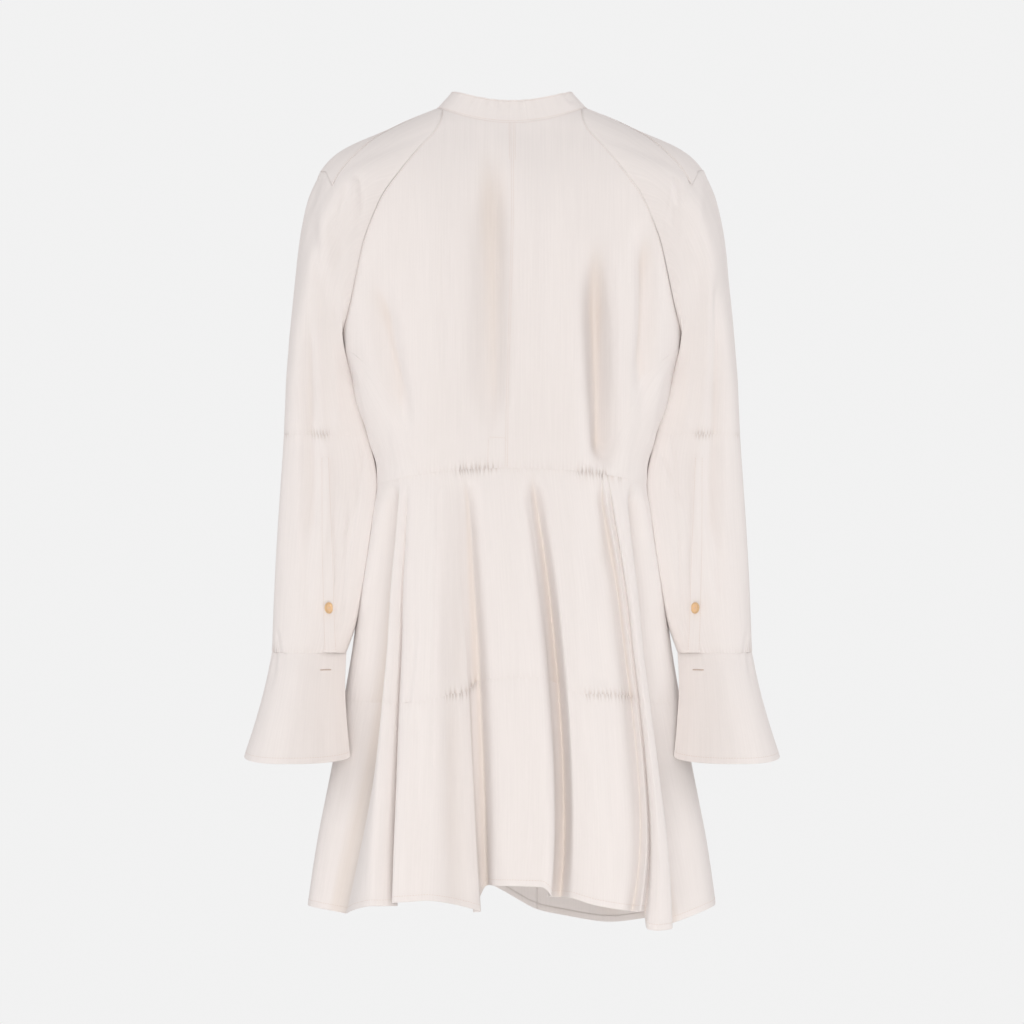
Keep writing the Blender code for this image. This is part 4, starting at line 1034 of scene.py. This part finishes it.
cuffGathers = gatherRows(
    (0.192, 0.244, 0.0044, 0.00050, 0.007, 1.7),
    (0.244, 0.256, 0.0034, 0.00120, 0.014, 0.2),
)
collarGathers = gatherRows((0.0, 1.0, 0.011, 0.0006, 0.012, 2.2))

sides = (("Left", "Right", -1.0), ("Right", "Left", 1.0))
centreBox = {"wide": 0.019, "topZ": -0.3476}      # stitched box at the foot of the centre back seam
# Distance of each row of stitches from its edge; the second row of the centre back ends at secondLow.
stitchRows = {"centre": 0.0012, "second": 0.0030, "secondLow": -0.062, "raglan": 0.0018, "collar": 0.0016,
              "saddle": 0.0016, "sleeveBand": 0.0014, "frontBand": 0.0020, "hem": 0.0058}
everyEdge = ("uLow", "uHigh", "vLow", "vHigh")
ivoryRuns = []


def placed(points, sign):
    # The grid of a right piece, or for sign -1 the same grid turned over to the left.
    return points * np.array([sign, 1.0, 1.0])


def bothRows(name, *edges):
    # A row of stitches along each edge, at its piece's own distance.
    return [(edge, stitchRows[name]) for edge in edges]


def panelMarks(onNeck, beyond):
    # Marks across a panel's top edge: so many on the neckline, and so many past it.
    return np.concatenate([spread(onNeck, 0.0, neckShare), spread(beyond, neckShare, 1.0)[1:]])


def makeBodice():
    # Back, front and side gore of each side, gathered a little at the waist.
    ripple = lambda far, points: gathers(far["vLow"], points[..., 0], waistGathers)
    for side, _, sign in sides:
        marks = grid(panelMarks(30, 66), spread(138, 0, 1, 0.35))
        points = placed(bodyPanel(*marks, False, 0.0, sign), sign)
        back = moved, normals, far = sewn(
            "back" + side, points, sign, everyEdge, everyEdge, (backCreases, raglanWrinkles), ripple=ripple,
            level=True, puckers=[("vLow", waistGathers)],
        )
        second = alongside(back, "uLow", stitchRows["second"])
        ivoryRuns.append(alongside(back, "uLow", stitchRows["centre"]))
        ivoryRuns.append(second[second[:, 2] > stitchRows["secondLow"]])
        ivoryRuns.append(alongside(back, "vHigh", stitchRows["raglan"]))
        if side == "Left":
            line = alongside(back, "uLow", centreBox["wide"])
            row = int(np.argmin(np.abs(moved[0, :, 2] - centreBox["topZ"])))
            near = far["uLow"][:, row] < centreBox["wide"]
            ivoryRuns.append(line[line[:, 2] < centreBox["topZ"]])
            ivoryRuns.append(np.concatenate([moved[near, row], normals[near, row]], axis=1))
        lap = bandCut["wide"] / 2 - bandCut["under"]
        marks = grid(panelMarks(16, 44), spread(96, 0, 1, 0.35))
        inner = lap + bandCut["inset"] if side == "Right" else -lap
        points = placed(bodyPanel(*marks, True, inner), sign)
        seams = ("uHigh", "vLow", "vHigh")
        sewn("front" + side, points, -sign, seams, seams, before=(frontCreases,), ripple=ripple, level=True)
        points = placed(gorePanel(*grid(spread(60, 0, 1, 0.4), spread(84, 0, 1, 0.3))), sign)
        sewn(
            "side" + side, points, sign, everyEdge, everyEdge,
            (goreCreases, backCreases), (frontCreases,), ripple,
        )


makeBodice()
print("bodice made")

# Puckers of the collar: small troughs from its top edge.
collarCreases = creases(
    (-0.0363, 0.0108, -0.0395, 0.0035, -0.0436, -0.0048, 0.0027, 0.0031, -0.0009, 0, 0.5),
    (-0.0239, 0.0087, -0.0249, 0.0015, -0.0270, -0.0079, 0.0023, 0.0031, -0.0011, 0, 0.5),
    (-0.0145, 0.0077, -0.0135, 0.0004, -0.0135, -0.0089, 0.0027, 0.0027, -0.0012, 0, 0.5),
    (-0.0042, 0.0067, -0.0031, 0.0004, -0.0010, -0.0079, 0.0023, 0.0023, -0.0009, 0, 0.5),
    (0.0073, 0.0056, 0.0083, -0.0006, 0.0083, -0.0079, 0.0027, 0.0031, -0.0010, 0, 0.5),
    (0.0187, 0.0067, 0.0208, 0.0004, 0.0218, -0.0058, 0.0027, 0.0031, -0.0007, 0, 0.5),
    (0.0561, 0.0119, 0.0602, 0.0056, 0.0633, 0.0004, 0.0031, 0.0031, -0.0013, 0, 0.5),
    (0.0457, 0.0098, 0.0478, 0.0035, 0.0498, -0.0027, 0.0031, 0.0031, -0.0007, 0, 0.5),
)


def makeCollar():
    # One band all round, its ends lapped over the front band.
    lap = math.asin(bandCut["wide"] / 2 / neckCut["half"])
    points = collarForm(*grid(np.linspace(-math.pi - lap, math.pi + lap, 300), spread(20, 0, 1, 0.4)))
    sewn(
        "collarBand", points, 1.0, ("vLow", "vHigh"), ("vLow",), (collarCreases,), (flipped(collarCreases),),
        lambda far, points: gathers(far["vHigh"], far["uLow"], collarGathers),
        rows=bothRows("collar", "vLow", "vHigh"), wall=collarCut["wall"],
    )


makeCollar()
print("collar made")


def headColumns(w, marks=58):
    # Angles round the sleeve at one level of its head: across the saddle, down behind, under, up in front.
    front, back = saddleEdges(w)
    share = spread(marks, 0, 1, 0.3)
    behind, before = max(tip, back + 8), max(tip, -front + 8 * min(w / saddleCut["end"], 1.0))
    return np.concatenate([
        np.linspace(front, back, saddleCut["marks"] + 1),
        np.linspace(back, behind, 5)[1:-1],
        behind + (armpit - behind) * share,
        np.linspace(armpit, 360 - armpit, 8)[1:-1],
        (360 - (before + (armpit - before) * share))[::-1],
        np.linspace(360 - before, 360 + front, 5)[1:-1],
    ])


# Creases of the sleeves as seen from behind: gathers that start at the saddle, soft folds across the head,
# then one long soft trough down the sleeve.
sleeveCreases = {
    "Left": creases(
        (-0.1596, -0.0749, -0.1570, -0.1061, -0.1590, -0.1362, 0.0023, 0.0033, -0.0026, 0.04, 0.5),
        (-0.1694, -0.0843, -0.1746, -0.1051, -0.1819, -0.1238, 0.0026, 0.0026, -0.0013, 0.1, 0.4),
        (-0.1653, -0.0780, -0.1648, -0.0988, -0.1653, -0.1238, 0.0025, 0.0021, 0.0010, 0.1, 0.4),
        (-0.2017, -0.0728, -0.2069, -0.0947, -0.2121, -0.1175, 0.0042, 0.0042, -0.0024, 0.04, 0.4),
        (-0.1850, -0.0676, -0.1871, -0.0843, -0.1902, -0.1051, 0.0031, 0.0031, -0.0012, 0.05, 0.5),
        (-0.2100, -0.1113, -0.2037, -0.1508, -0.1975, -0.1945, 0.0062, 0.0062, -0.0028, 0.3, 0.4),
        (-0.1954, -0.0988, -0.1881, -0.1612, -0.1798, -0.2288, 0.0073, 0.0073, 0.0020, 0.3, 0.3),
        (-0.1788, -0.1362, -0.1778, -0.1560, -0.1788, -0.1778, 0.0073, 0.0062, -0.0018, 0.4, 0.4),
        (-0.2110, -0.1924, -0.2110, -0.2859, -0.2121, -0.3421, 0.0083, 0.0073, -0.0065, 0.35, 0),
        (-0.2245, -0.2028, -0.2266, -0.2755, -0.2297, -0.3410, 0.0083, 0.0083, 0.0012, 0.3, 0.1),
        (-0.1861, -0.2340, -0.1830, -0.2859, -0.1809, -0.3410, 0.0062, 0.0062, 0.0015, 0.3, 0.1),
    ),
    "Right": creases(
        (0.1679, -0.0791, 0.1705, -0.0947, 0.1705, -0.1123, 0.0021, 0.0027, -0.0024, 0.04, 0.5),
        (0.1788, -0.0822, 0.1767, -0.0926, 0.1736, -0.1051, 0.0019, 0.0021, -0.0014, 0.05, 0.5),
        (0.1622, -0.0864, 0.1611, -0.1019, 0.1601, -0.1175, 0.0021, 0.0026, 0.0010, 0.1, 0.4),
        (0.1861, -0.0656, 0.1850, -0.0780, 0.1830, -0.0926, 0.0023, 0.0025, -0.0013, 0.05, 0.5),
        (0.1975, -0.0604, 0.1944, -0.0988, 0.1881, -0.1487, 0.0042, 0.0052, 0.0018, 0.1, 0.4),
        (0.1933, -0.1196, 0.1944, -0.1404, 0.1985, -0.1654, 0.0062, 0.0062, -0.0024, 0.4, 0.4),
        (0.1653, -0.1051, 0.1663, -0.1248, 0.1684, -0.1477, 0.0052, 0.0052, -0.0018, 0.3, 0.4),
        (0.2183, -0.1570, 0.2141, -0.2340, 0.2121, -0.3421, 0.0073, 0.0083, -0.0065, 0.35, 0),
        (0.1850, -0.1508, 0.1850, -0.2028, 0.1830, -0.2444, 0.0083, 0.0073, 0.0018, 0.3, 0.3),
        (0.2131, -0.1040, 0.2162, -0.1612, 0.2204, -0.2236, 0.0073, 0.0073, 0.0016, 0.3, 0.3),
        (0.1840, -0.2548, 0.1830, -0.2963, 0.1809, -0.3410, 0.0062, 0.0062, 0.0012, 0.3, 0.1),
    ),
}
lowerCreases = {
    "Left": creases(
        (-0.2123, -0.3420, -0.2113, -0.4065, -0.2134, -0.4887, 0.0083, 0.0073, -0.0065, 0, 0.4),
        (-0.2113, -0.4689, -0.2134, -0.5043, -0.2082, -0.5397, 0.0062, 0.0062, -0.0013, 0.4, 0.4),
        (-0.2248, -0.3482, -0.2217, -0.4315, -0.2227, -0.5147, 0.0073, 0.0073, 0.0014, 0.1, 0.4),
        (-0.1936, -0.3534, -0.1926, -0.4107, -0.1988, -0.5043, 0.0042, 0.0042, 0.0010, 0.2, 0.3),
        (-0.1520, -0.3451, -0.1655, -0.4263, -0.1738, -0.4731, 0.0017, 0.0017, -0.0014, 0.1, 0.3),
        (-0.1572, -0.3451, -0.1697, -0.4232, -0.1769, -0.4689, 0.0016, 0.0016, -0.0010, 0.1, 0.3),
        (-0.1733, -0.3794, -0.1728, -0.4575, -0.1811, -0.5647, 0.0017, 0.0017, -0.0010, 0.2, 0.2),
        (-0.2467, -0.5439, -0.2446, -0.5564, -0.2425, -0.5699, 0.0021, 0.0021, -0.0016, 0.4, 0),
    ),
    "Right": creases(
        (0.2123, -0.3420, 0.2102, -0.4107, 0.2134, -0.4887, 0.0073, 0.0083, -0.0065, 0, 0.4),
        (0.2071, -0.4710, 0.2123, -0.4991, 0.2186, -0.5251, 0.0052, 0.0052, -0.0015, 0.3, 0.4),
        (0.2248, -0.3482, 0.2238, -0.4315, 0.2248, -0.5147, 0.0073, 0.0073, 0.0012, 0.1, 0.4),
        (0.1957, -0.3534, 0.1926, -0.4107, 0.1967, -0.5043, 0.0042, 0.0042, 0.0009, 0.2, 0.3),
        (0.1540, -0.3565, 0.1665, -0.3919, 0.1811, -0.4294, 0.0021, 0.0021, -0.0013, 0.2, 0.3),
        (0.1655, -0.3451, 0.1707, -0.3794, 0.1728, -0.4159, 0.0017, 0.0017, -0.0010, 0.1, 0.3),
        (0.1728, -0.4315, 0.1749, -0.5043, 0.1801, -0.5647, 0.0017, 0.0017, -0.0010, 0.2, 0.2),
        (0.2467, -0.5439, 0.2446, -0.5564, 0.2425, -0.5699, 0.0021, 0.0021, -0.0016, 0.4, 0),
    ),
}
cuffCreases = {
    "Left": creases(
        (-0.2470, -0.5711, -0.2485, -0.5878, -0.2522, -0.6128, 0.0025, 0.0025, -0.0016, 0, 0.6),
        (-0.2376, -0.5711, -0.2386, -0.5816, -0.2407, -0.6003, 0.0021, 0.0021, -0.0009, 0, 0.6),
        (-0.2209, -0.5732, -0.2241, -0.6243, -0.2303, -0.6858, 0.0125, 0.0125, 0.0012, 0.2, 0),
        (-0.1970, -0.6086, -0.1949, -0.6451, -0.1918, -0.6858, 0.0094, 0.0094, -0.0010, 0.4, 0),
    ),
    "Right": creases(
        (0.2470, -0.5711, 0.2485, -0.5878, 0.2522, -0.6128, 0.0025, 0.0025, -0.0016, 0, 0.6),
        (0.2376, -0.5711, 0.2386, -0.5816, 0.2407, -0.6003, 0.0021, 0.0021, -0.0009, 0, 0.6),
        (0.2188, -0.5732, 0.2230, -0.6243, 0.2303, -0.6858, 0.0125, 0.0125, 0.0012, 0.2, 0),
        (0.1970, -0.6086, 0.1949, -0.6451, 0.1918, -0.6858, 0.0094, 0.0094, -0.0010, 0.4, 0),
    ),
}
buttonholeCut = {"x": 0.1935, "z": -0.5870, "long": 0.0130, "half": 0.00032, "lift": 0.00030}
buttonholeRuns = []
sleeveButtonSpots = {}


def sleeveMarks():
    # Levels of the sleeve head, crowded at the saddle's end, and the place of that end among them.
    end = saddleCut["end"]
    levels = np.concatenate([spread(34, 0.0, end, 0.3), spread(46, end, 1.0, 0.2)[1:]])
    return levels, int(np.argmax(levels == end))


def makeSleeves():
    # Upper sleeve, saddle, lower sleeve, band and cuff, made once and placed on each side.
    levels, cut = sleeveMarks()
    degrees = np.array([headColumns(w) for w in levels]).T
    upper = sleeveHeadForm(degrees, np.broadcast_to(levels, degrees.shape))
    ring = grid(np.radians(degrees[:, -1]), np.linspace(sleeveCut["bicepZ"], sleeveCut["elbowZ"], 26)[1:])
    upper = np.concatenate([upper, sleeveTube(*ring)], axis=1)
    over = spread(44, 0.0, saddleCut["end"] * saddleCut["overEnd"], 0.3)
    past, marks = saddleCut["overSide"], saddleCut["marks"] + 1
    degrees = np.array([np.linspace(*(saddleEdges(w) + (-past, past)), marks) for w in over]).T
    saddle = sleeveHeadForm(degrees, np.broadcast_to(over, degrees.shape))
    ring = np.radians(np.linspace(0, 360, 131)[:-1])
    lower = sleeveTube(*grid(ring, spread(92, sleeveCut["elbowZ"], sleeveCut["cuffZ"], 0.3)))
    band = sleeveBandForm(*grid(spread(14, 0, 1, 0.4), spread(110, 0, 0.999, 0.2)))
    band = band - unitNormals(band) * sleeveBandCut["lift"]
    cuff = cuffForm(*grid(spread(150, 0, 1, 0.4), spread(44, 0, 1, 0.3)))

    def along(*gathered):
        return lambda far, points: gathering(far, np.abs(points[..., 0]), gathered)

    atTop, atCuff = ("vLow", elbowGathers, 1.0), ("vHigh", cuffGathers, 1.0)
    for side, otherSide, sign in sides:
        both = lambda tables: {"behind": (tables[side],), "before": (flipped(tables[otherSide]),)}
        sewn(
            "sleeveUpper" + side, placed(upper, sign), sign, ("vHigh",), ("vLow", "vHigh"),
            (sleeveCreases[side], raglanWrinkles), (flipped(sleeveCreases[otherSide]),),
            along(("vHigh", elbowGathers, 1.0)), closed=True, puckers=[("vHigh", elbowGathers)],
            keep=lambda i, j: (i >= saddleCut["marks"]) | (j >= cut),
        )
        sewn(
            "saddle" + side, placed(saddle, sign), sign, everyEdge,
            ripple=lambda far, points: saddleCut["lift"], rows=bothRows("saddle", "uHigh", "uLow"),
        )
        sewn(
            "sleeveLower" + side, placed(lower, sign), sign, ("vLow", "vHigh"), ("vLow", "vHigh"),
            ripple=along(atTop, atCuff), closed=True, puckers=[atTop[:2], atCuff[:2]], **both(lowerCreases),
        )
        moved, normals, _ = sewn(
            "sleeveBand" + side, placed(band, sign), -sign, ("uLow", "uHigh", "vLow"),
            behind=(lowerCreases[side],), rows=bothRows("sleeveBand", "uLow", "uHigh"),
        )
        at = 7, int(np.argmin(np.abs(moved[7, :, 2] - sleeveBandCut["buttonZ"])))
        turned = normals[at] + np.array([-sign * sleeveBandCut["buttonTurn"], 0.0, 0.0])
        sleeveButtonSpots[side] = (moved[at] + normals[at] * sleeveBandCut["buttonLift"], turned)
        moved, normals, _ = sewn(
            "cuff" + side, placed(cuff, sign), -sign, ("vLow",), ("vLow",),
            ripple=along(("vLow", cuffGathers, 0.5)), rows=bothRows("hem", "vHigh"), hem=True,
            **both(cuffCreases),
        )
        buttonholeRuns.extend(buttonholeOn(moved, normals, sign))


def buttonholeOn(points, normals, sign):
    # Two close rows of short cross stitches along a level slit on the back of the cuff.
    far = np.hypot(points[..., 0] - sign * buttonholeCut["x"], points[..., 2] - buttonholeCut["z"])
    at = np.unravel_index(np.argmin(np.where(points[..., 1] < -0.03, far, 9.0)), far.shape)
    up = normals[at]
    across = np.array([up[1], -up[0], 0.0]) / math.hypot(up[0], up[1])
    marks = np.linspace(-0.5, 0.5, 60)[:, None] * buttonholeCut["long"]
    rows = [points[at] + across * marks + up * buttonholeCut["lift"] + np.array([0, 0, row])
            for row in (-buttonholeCut["half"], buttonholeCut["half"])]
    return [np.concatenate([way, np.broadcast_to(up, way.shape)], axis=1) for way in rows]


makeSleeves()
print("sleeves made")

skirtCreases = creases(
    (-0.0969, -0.5027, -0.1010, -0.5639, -0.1081, -0.6312, 0.0031, 0.0031, -0.0018, 0.5, 0),
    (-0.0724, -0.4109, -0.0755, -0.5129, -0.0806, -0.6088, 0.0071, 0.0092, 0.0010, 0.3, 0.1),
    (-0.0479, -0.4109, -0.0500, -0.5129, -0.0530, -0.6047, 0.0082, 0.0082, -0.0012, 0.3, 0.1),
    (0.0031, -0.4109, 0.0051, -0.5129, 0.0071, -0.5924, 0.0122, 0.0143, 0.0010, 0.3, 0.1),
    (0.0612, -0.4211, 0.0653, -0.5129, 0.0663, -0.6047, 0.0051, 0.0061, 0.0010, 0.3, 0.1),
    (0.0897, -0.4109, 0.0928, -0.5129, 0.0897, -0.6067, 0.0122, 0.0122, -0.0026, 0.3, 0.1),
    (0.1112, -0.4109, 0.1173, -0.4823, 0.1234, -0.5639, 0.0013, 0.0013, -0.0007, 0.3, 0.3),
)
flounceCreases = creases(
    (-0.0952, -0.6187, -0.0963, -0.7150, -0.0932, -0.8183, 0.0061, 0.0061, -0.0017, 0.1, 0),
    (-0.0557, -0.6136, -0.0567, -0.7150, -0.0507, -0.8244, 0.0091, 0.0091, -0.0016, 0.2, 0),
    (0.0010, -0.6035, 0.0000, -0.7048, -0.0041, -0.8021, 0.0122, 0.0101, -0.0012, 0.3, 0),
    (0.0740, -0.6136, 0.0750, -0.7150, 0.0770, -0.8183, 0.0081, 0.0081, 0.0012, 0.2, 0),
    (0.1013, -0.6157, 0.1064, -0.7150, 0.1074, -0.8244, 0.0142, 0.0122, -0.0026, 0.2, 0),
)
tierGathers = gatherRows(
    (-0.200, 0.200, 0.0066, 0.00030, 0.010, 0.8),
    (-0.0665, -0.0360, 0.0045, 0.00130, 0.008, 0.5),
    (0.0740, 0.1240, 0.0047, 0.00120, 0.008, 1.4),
)


def makeSkirt():
    # Upper tier and flounce, each cut as a back and two fronts.
    spans = {
        "Back": (-0.5, sideRight + 0.5, 300),
        "FrontRight": (sideRight + 0.5, centreFront + lapCut["right"], 88),
        "FrontLeft": (centreFront + lapCut["left"], turn - 0.5, 88),
    }
    atWaist, aboveTier, belowTier = (
        ("vLow", waistGathers, 1.3), ("vHigh", tierGathers, 1.0), ("vLow", tierGathers, 1.0))
    tiers = (
        ("skirt", spread(86, 0, 1, 0.3), skirtCreases, frontSkirtCreases, (atWaist, aboveTier)),
        ("flounce", spread(78, 1, 2, 0.3), flounceCreases, frontFlounceCreases, (belowTier,)),
    )
    for name, (start, end, count) in spans.items():
        for part, vs, behind, before, gathered in tiers:
            seams = [row[0] for row in gathered]

            def ripple(far, points):
                # The left front lies inside the right one where they lap.
                lapped = lapCut["deep"] * rise((lapCut["wide"] - far["uLow"]) / lapCut["ease"])
                lapped = lapped * (name == "FrontLeft")
                return gathering(far, points[..., 0], gathered) - lapped

            points = skirtForm(*grid(np.linspace(start, end, count), vs))
            points[..., 2] += lapCut["up"] * (1 - rise((vs - vs[0]) / 0.02))
            hem = part == "flounce"
            sewn(
                part + name, points, -1.0, seams, seams, (behind,), (before,), ripple, hem=hem,
                rows=bothRows("hem", "vHigh") if hem else (), puckers=[row[:2] for row in gathered],
            )


makeSkirt()
print("skirt made")

# Turned button: radius and height of its profile, and the share of painted shade at its rim.
buttonProfile = table(
    "radius height rim",
    (0.0000, 0.0016, 0.0),
    (0.0022, 0.0016, 0.0),
    (0.0034, 0.0017, 0.0),
    (0.0041, 0.0022, 0.2),
    (0.0047, 0.0026, 0.8),
    (0.0054, 0.0026, 1.0),
    (0.0059, 0.0021, 1.0),
    (0.0060, 0.0014, 1.0),
    (0.0057, 0.0006, 1.0),
    (0.0048, 0.0001, 0.9),
    (0.0000, 0.0000, 0.5),
)
holeCut = {"aside": 0.0009, "half": 0.0013, "height": 0.0018}      # rows of thread through the four holes


def buttonMesh(name, nodeName, middle, normal, count=48):
    # The profile spun round its middle. Returns the two rows of thread.
    normal = unit(np.asarray(normal, float))
    across = unit(np.cross((0.0, 0.0, 1.0), normal))
    up = np.cross(normal, across)
    spin = np.linspace(0, 2 * np.pi, count + 1)[:-1, None]
    ring = across * np.cos(spin) + up * np.sin(spin)
    radius, height = buttonProfile["radius"], buttonProfile["height"]
    points = middle + ring[:, None] * radius[:, None] + normal * height[:, None]
    i, j = (part.ravel() for part in grid(np.arange(count), np.arange(len(radius) - 1)))
    here, beside = i * len(radius) + j, (i + 1) % count * len(radius) + j
    faces = np.stack([here, here + 1, beside + 1, beside], axis=1)
    made = meshOf(name, points.reshape(-1, 3), faces, horn, nodes=[nodeName])
    addMask(made, "rim", np.tile(buttonProfile["rim"], count))
    runs = []
    for offset in (-holeCut["aside"], holeCut["aside"]):
        start = middle + normal * holeCut["height"] + across * offset - up * holeCut["half"]
        way = start + up * 2 * holeCut["half"] * np.linspace(0, 1, 5)[:, None]
        runs.append(np.concatenate([way, np.broadcast_to(normal, way.shape)], axis=1))
    return runs


def makeFront():
    # Front band in three lengths, with the shares of each at which its buttons sit.
    us, marks = spread(16, 0, 1, 0.4), spread(150, 0, 1, 0.2)
    pieces = (
        ("bandBodice", bodiceBandForm(*grid(us, marks)), (0.92, 0.715, 0.51, 0.305, 0.10)),
        ("bandSkirt", skirtBandForm(*grid(us, spread(96, 0.002, 0.999, 0.2))), (0.25, 0.65)),
        ("bandFlounce", skirtBandForm(*grid(us, spread(96, 1.001, 2.0, 0.2))), (0.12,)),
    )
    number, runs = 0, []
    for name, points, shares in pieces:
        points = points - unitNormals(points) * bandCut["lift"]
        edges = "uLow", "uHigh"
        moved, normals, _ = sewn(name, points, -1.0, edges, rows=bothRows("frontBand", *edges))
        middle = moved[7:9].mean(axis=0)
        way = runLength(middle)
        for share in shares:
            number += 1
            at = int(np.argmin(np.abs(way / way[-1] - share)))
            runs += buttonMesh(f"frontButton{number}", f"button_{number}", middle[at], normals[7, at])
    at, above = (collarForm(np.array(math.pi), np.array(v)) for v in (0.5, 0.7))
    runs += buttonMesh("collarButton", "button_collar", at, (0.0, (above - at)[2], -(above - at)[1]))
    for side, _, _ in sides:
        runs += buttonMesh("sleeveButton" + side, "sleeve_button_" + side.lower(), *sleeveButtonSpots[side])
    stitches("buttonThread", runs, thread, buttonThreadCut)


makeFront()
print("front and buttons made")

count = stitches("seamStitches", ivoryRuns, thread)
stitches("buttonholeStitches", buttonholeRuns, holeThread, buttonholeThreadCut)
print("stitches made:", count)

view = {"far": 4.0, "z": -0.42315, "wide": 1024 * 0.00105, "sensor": 36.0}      # width that the view takes in
camera = bpy.data.objects.new("camera", bpy.data.cameras.new("camera"))
bpy.context.scene.collection.objects.link(camera)
camera.location = (0.0, -view["far"], view["z"])
camera.rotation_euler = (math.radians(90), 0.0, 0.0)
camera.data.sensor_width = view["sensor"]
camera.data.lens = view["sensor"] * view["far"] / view["wide"]
bpy.context.scene.camera = camera
bpy.context.scene.view_settings.view_transform = "Standard"

room = {
    "backdrop": (0.885, 0.885, 0.885),  # backdrop behind the garment
    "around": (0.430, 0.410, 0.405),    # even light of the room, warm where the cloth lights itself
    "floorRadius": 2.9,
    "floorZ": -1.4,
}
# Name, place, point that it faces, width and height, power, and colour.
lights = (
    ("left", (-3.1, -0.3, 0.4), (0, 0, -0.42), (1.2, 2.0), 26.0, (1.0, 1.0, 1.0)),
    ("right", (3.1, -0.3, 0.4), (0, 0, -0.42), (1.2, 2.0), 26.0, (1.0, 1.0, 1.0)),
    ("front", (0.0, -3.9, 0.5), (0, 0, -0.42), (2.4, 1.6), 31.0, (1.0, 1.0, 1.0)),
    ("top", (0.0, -0.9, 2.2), (0, 0, -0.2), (2.4, 1.6), 13.0, (1.0, 1.0, 1.0)),
    ("far", (0.6, 3.4, 0.4), (0, 0, -0.42), (2.0, 1.6), 30.0, (1.0, 1.0, 1.0)),
    ("low", (0.0, -2.4, -1.25), (0, 0, -0.8), (1.6, 0.3), 15.0, (1.0, 0.94, 0.88)),
)


def makeWorld():
    # The backdrop is seen at its own brightness; the even light that falls on the cloth is dimmer.
    world = bpy.data.worlds.new("studio")
    world.use_nodes = True
    tree = world.node_tree
    seen = node(tree, "ShaderNodeLightPath").outputs["Is Camera Ray"]
    pick = node(tree, "ShaderNodeMix", {
        "Factor": seen, "A": (*room["around"], 1.0), "B": (*room["backdrop"], 1.0)}, data_type="RGBA")
    tree.links.new(pick.outputs["Result"], tree.nodes["Background"].inputs["Color"])
    bpy.context.scene.world = world


makeWorld()
for name, location, target, size, power, colour in lights:
    data = bpy.data.lights.new(name, "AREA")
    data.shape = "RECTANGLE"
    data.size, data.size_y = size
    data.energy, data.color = power, colour
    made = bpy.data.objects.new(name, data)
    made.location = location
    made.rotation_euler = (Vector(target) - Vector(location)).to_track_quat("-Z", "Y").to_euler()
    made.visible_camera = False
    bpy.context.scene.collection.objects.link(made)

floor = bpy.data.objects.new("floor", bpy.data.meshes.new("floor"))
spin = np.linspace(0, 2 * np.pi, 97)[:-1]
ring = stack(room["floorRadius"] * np.cos(spin), room["floorRadius"] * np.sin(spin), room["floorZ"])
floor.data.from_pydata(ring.tolist(), [], [list(range(len(ring)))])
bpy.context.scene.collection.objects.link(floor)
floor.data.materials.append(newMaterial("paleFloor", floorLook)[0])
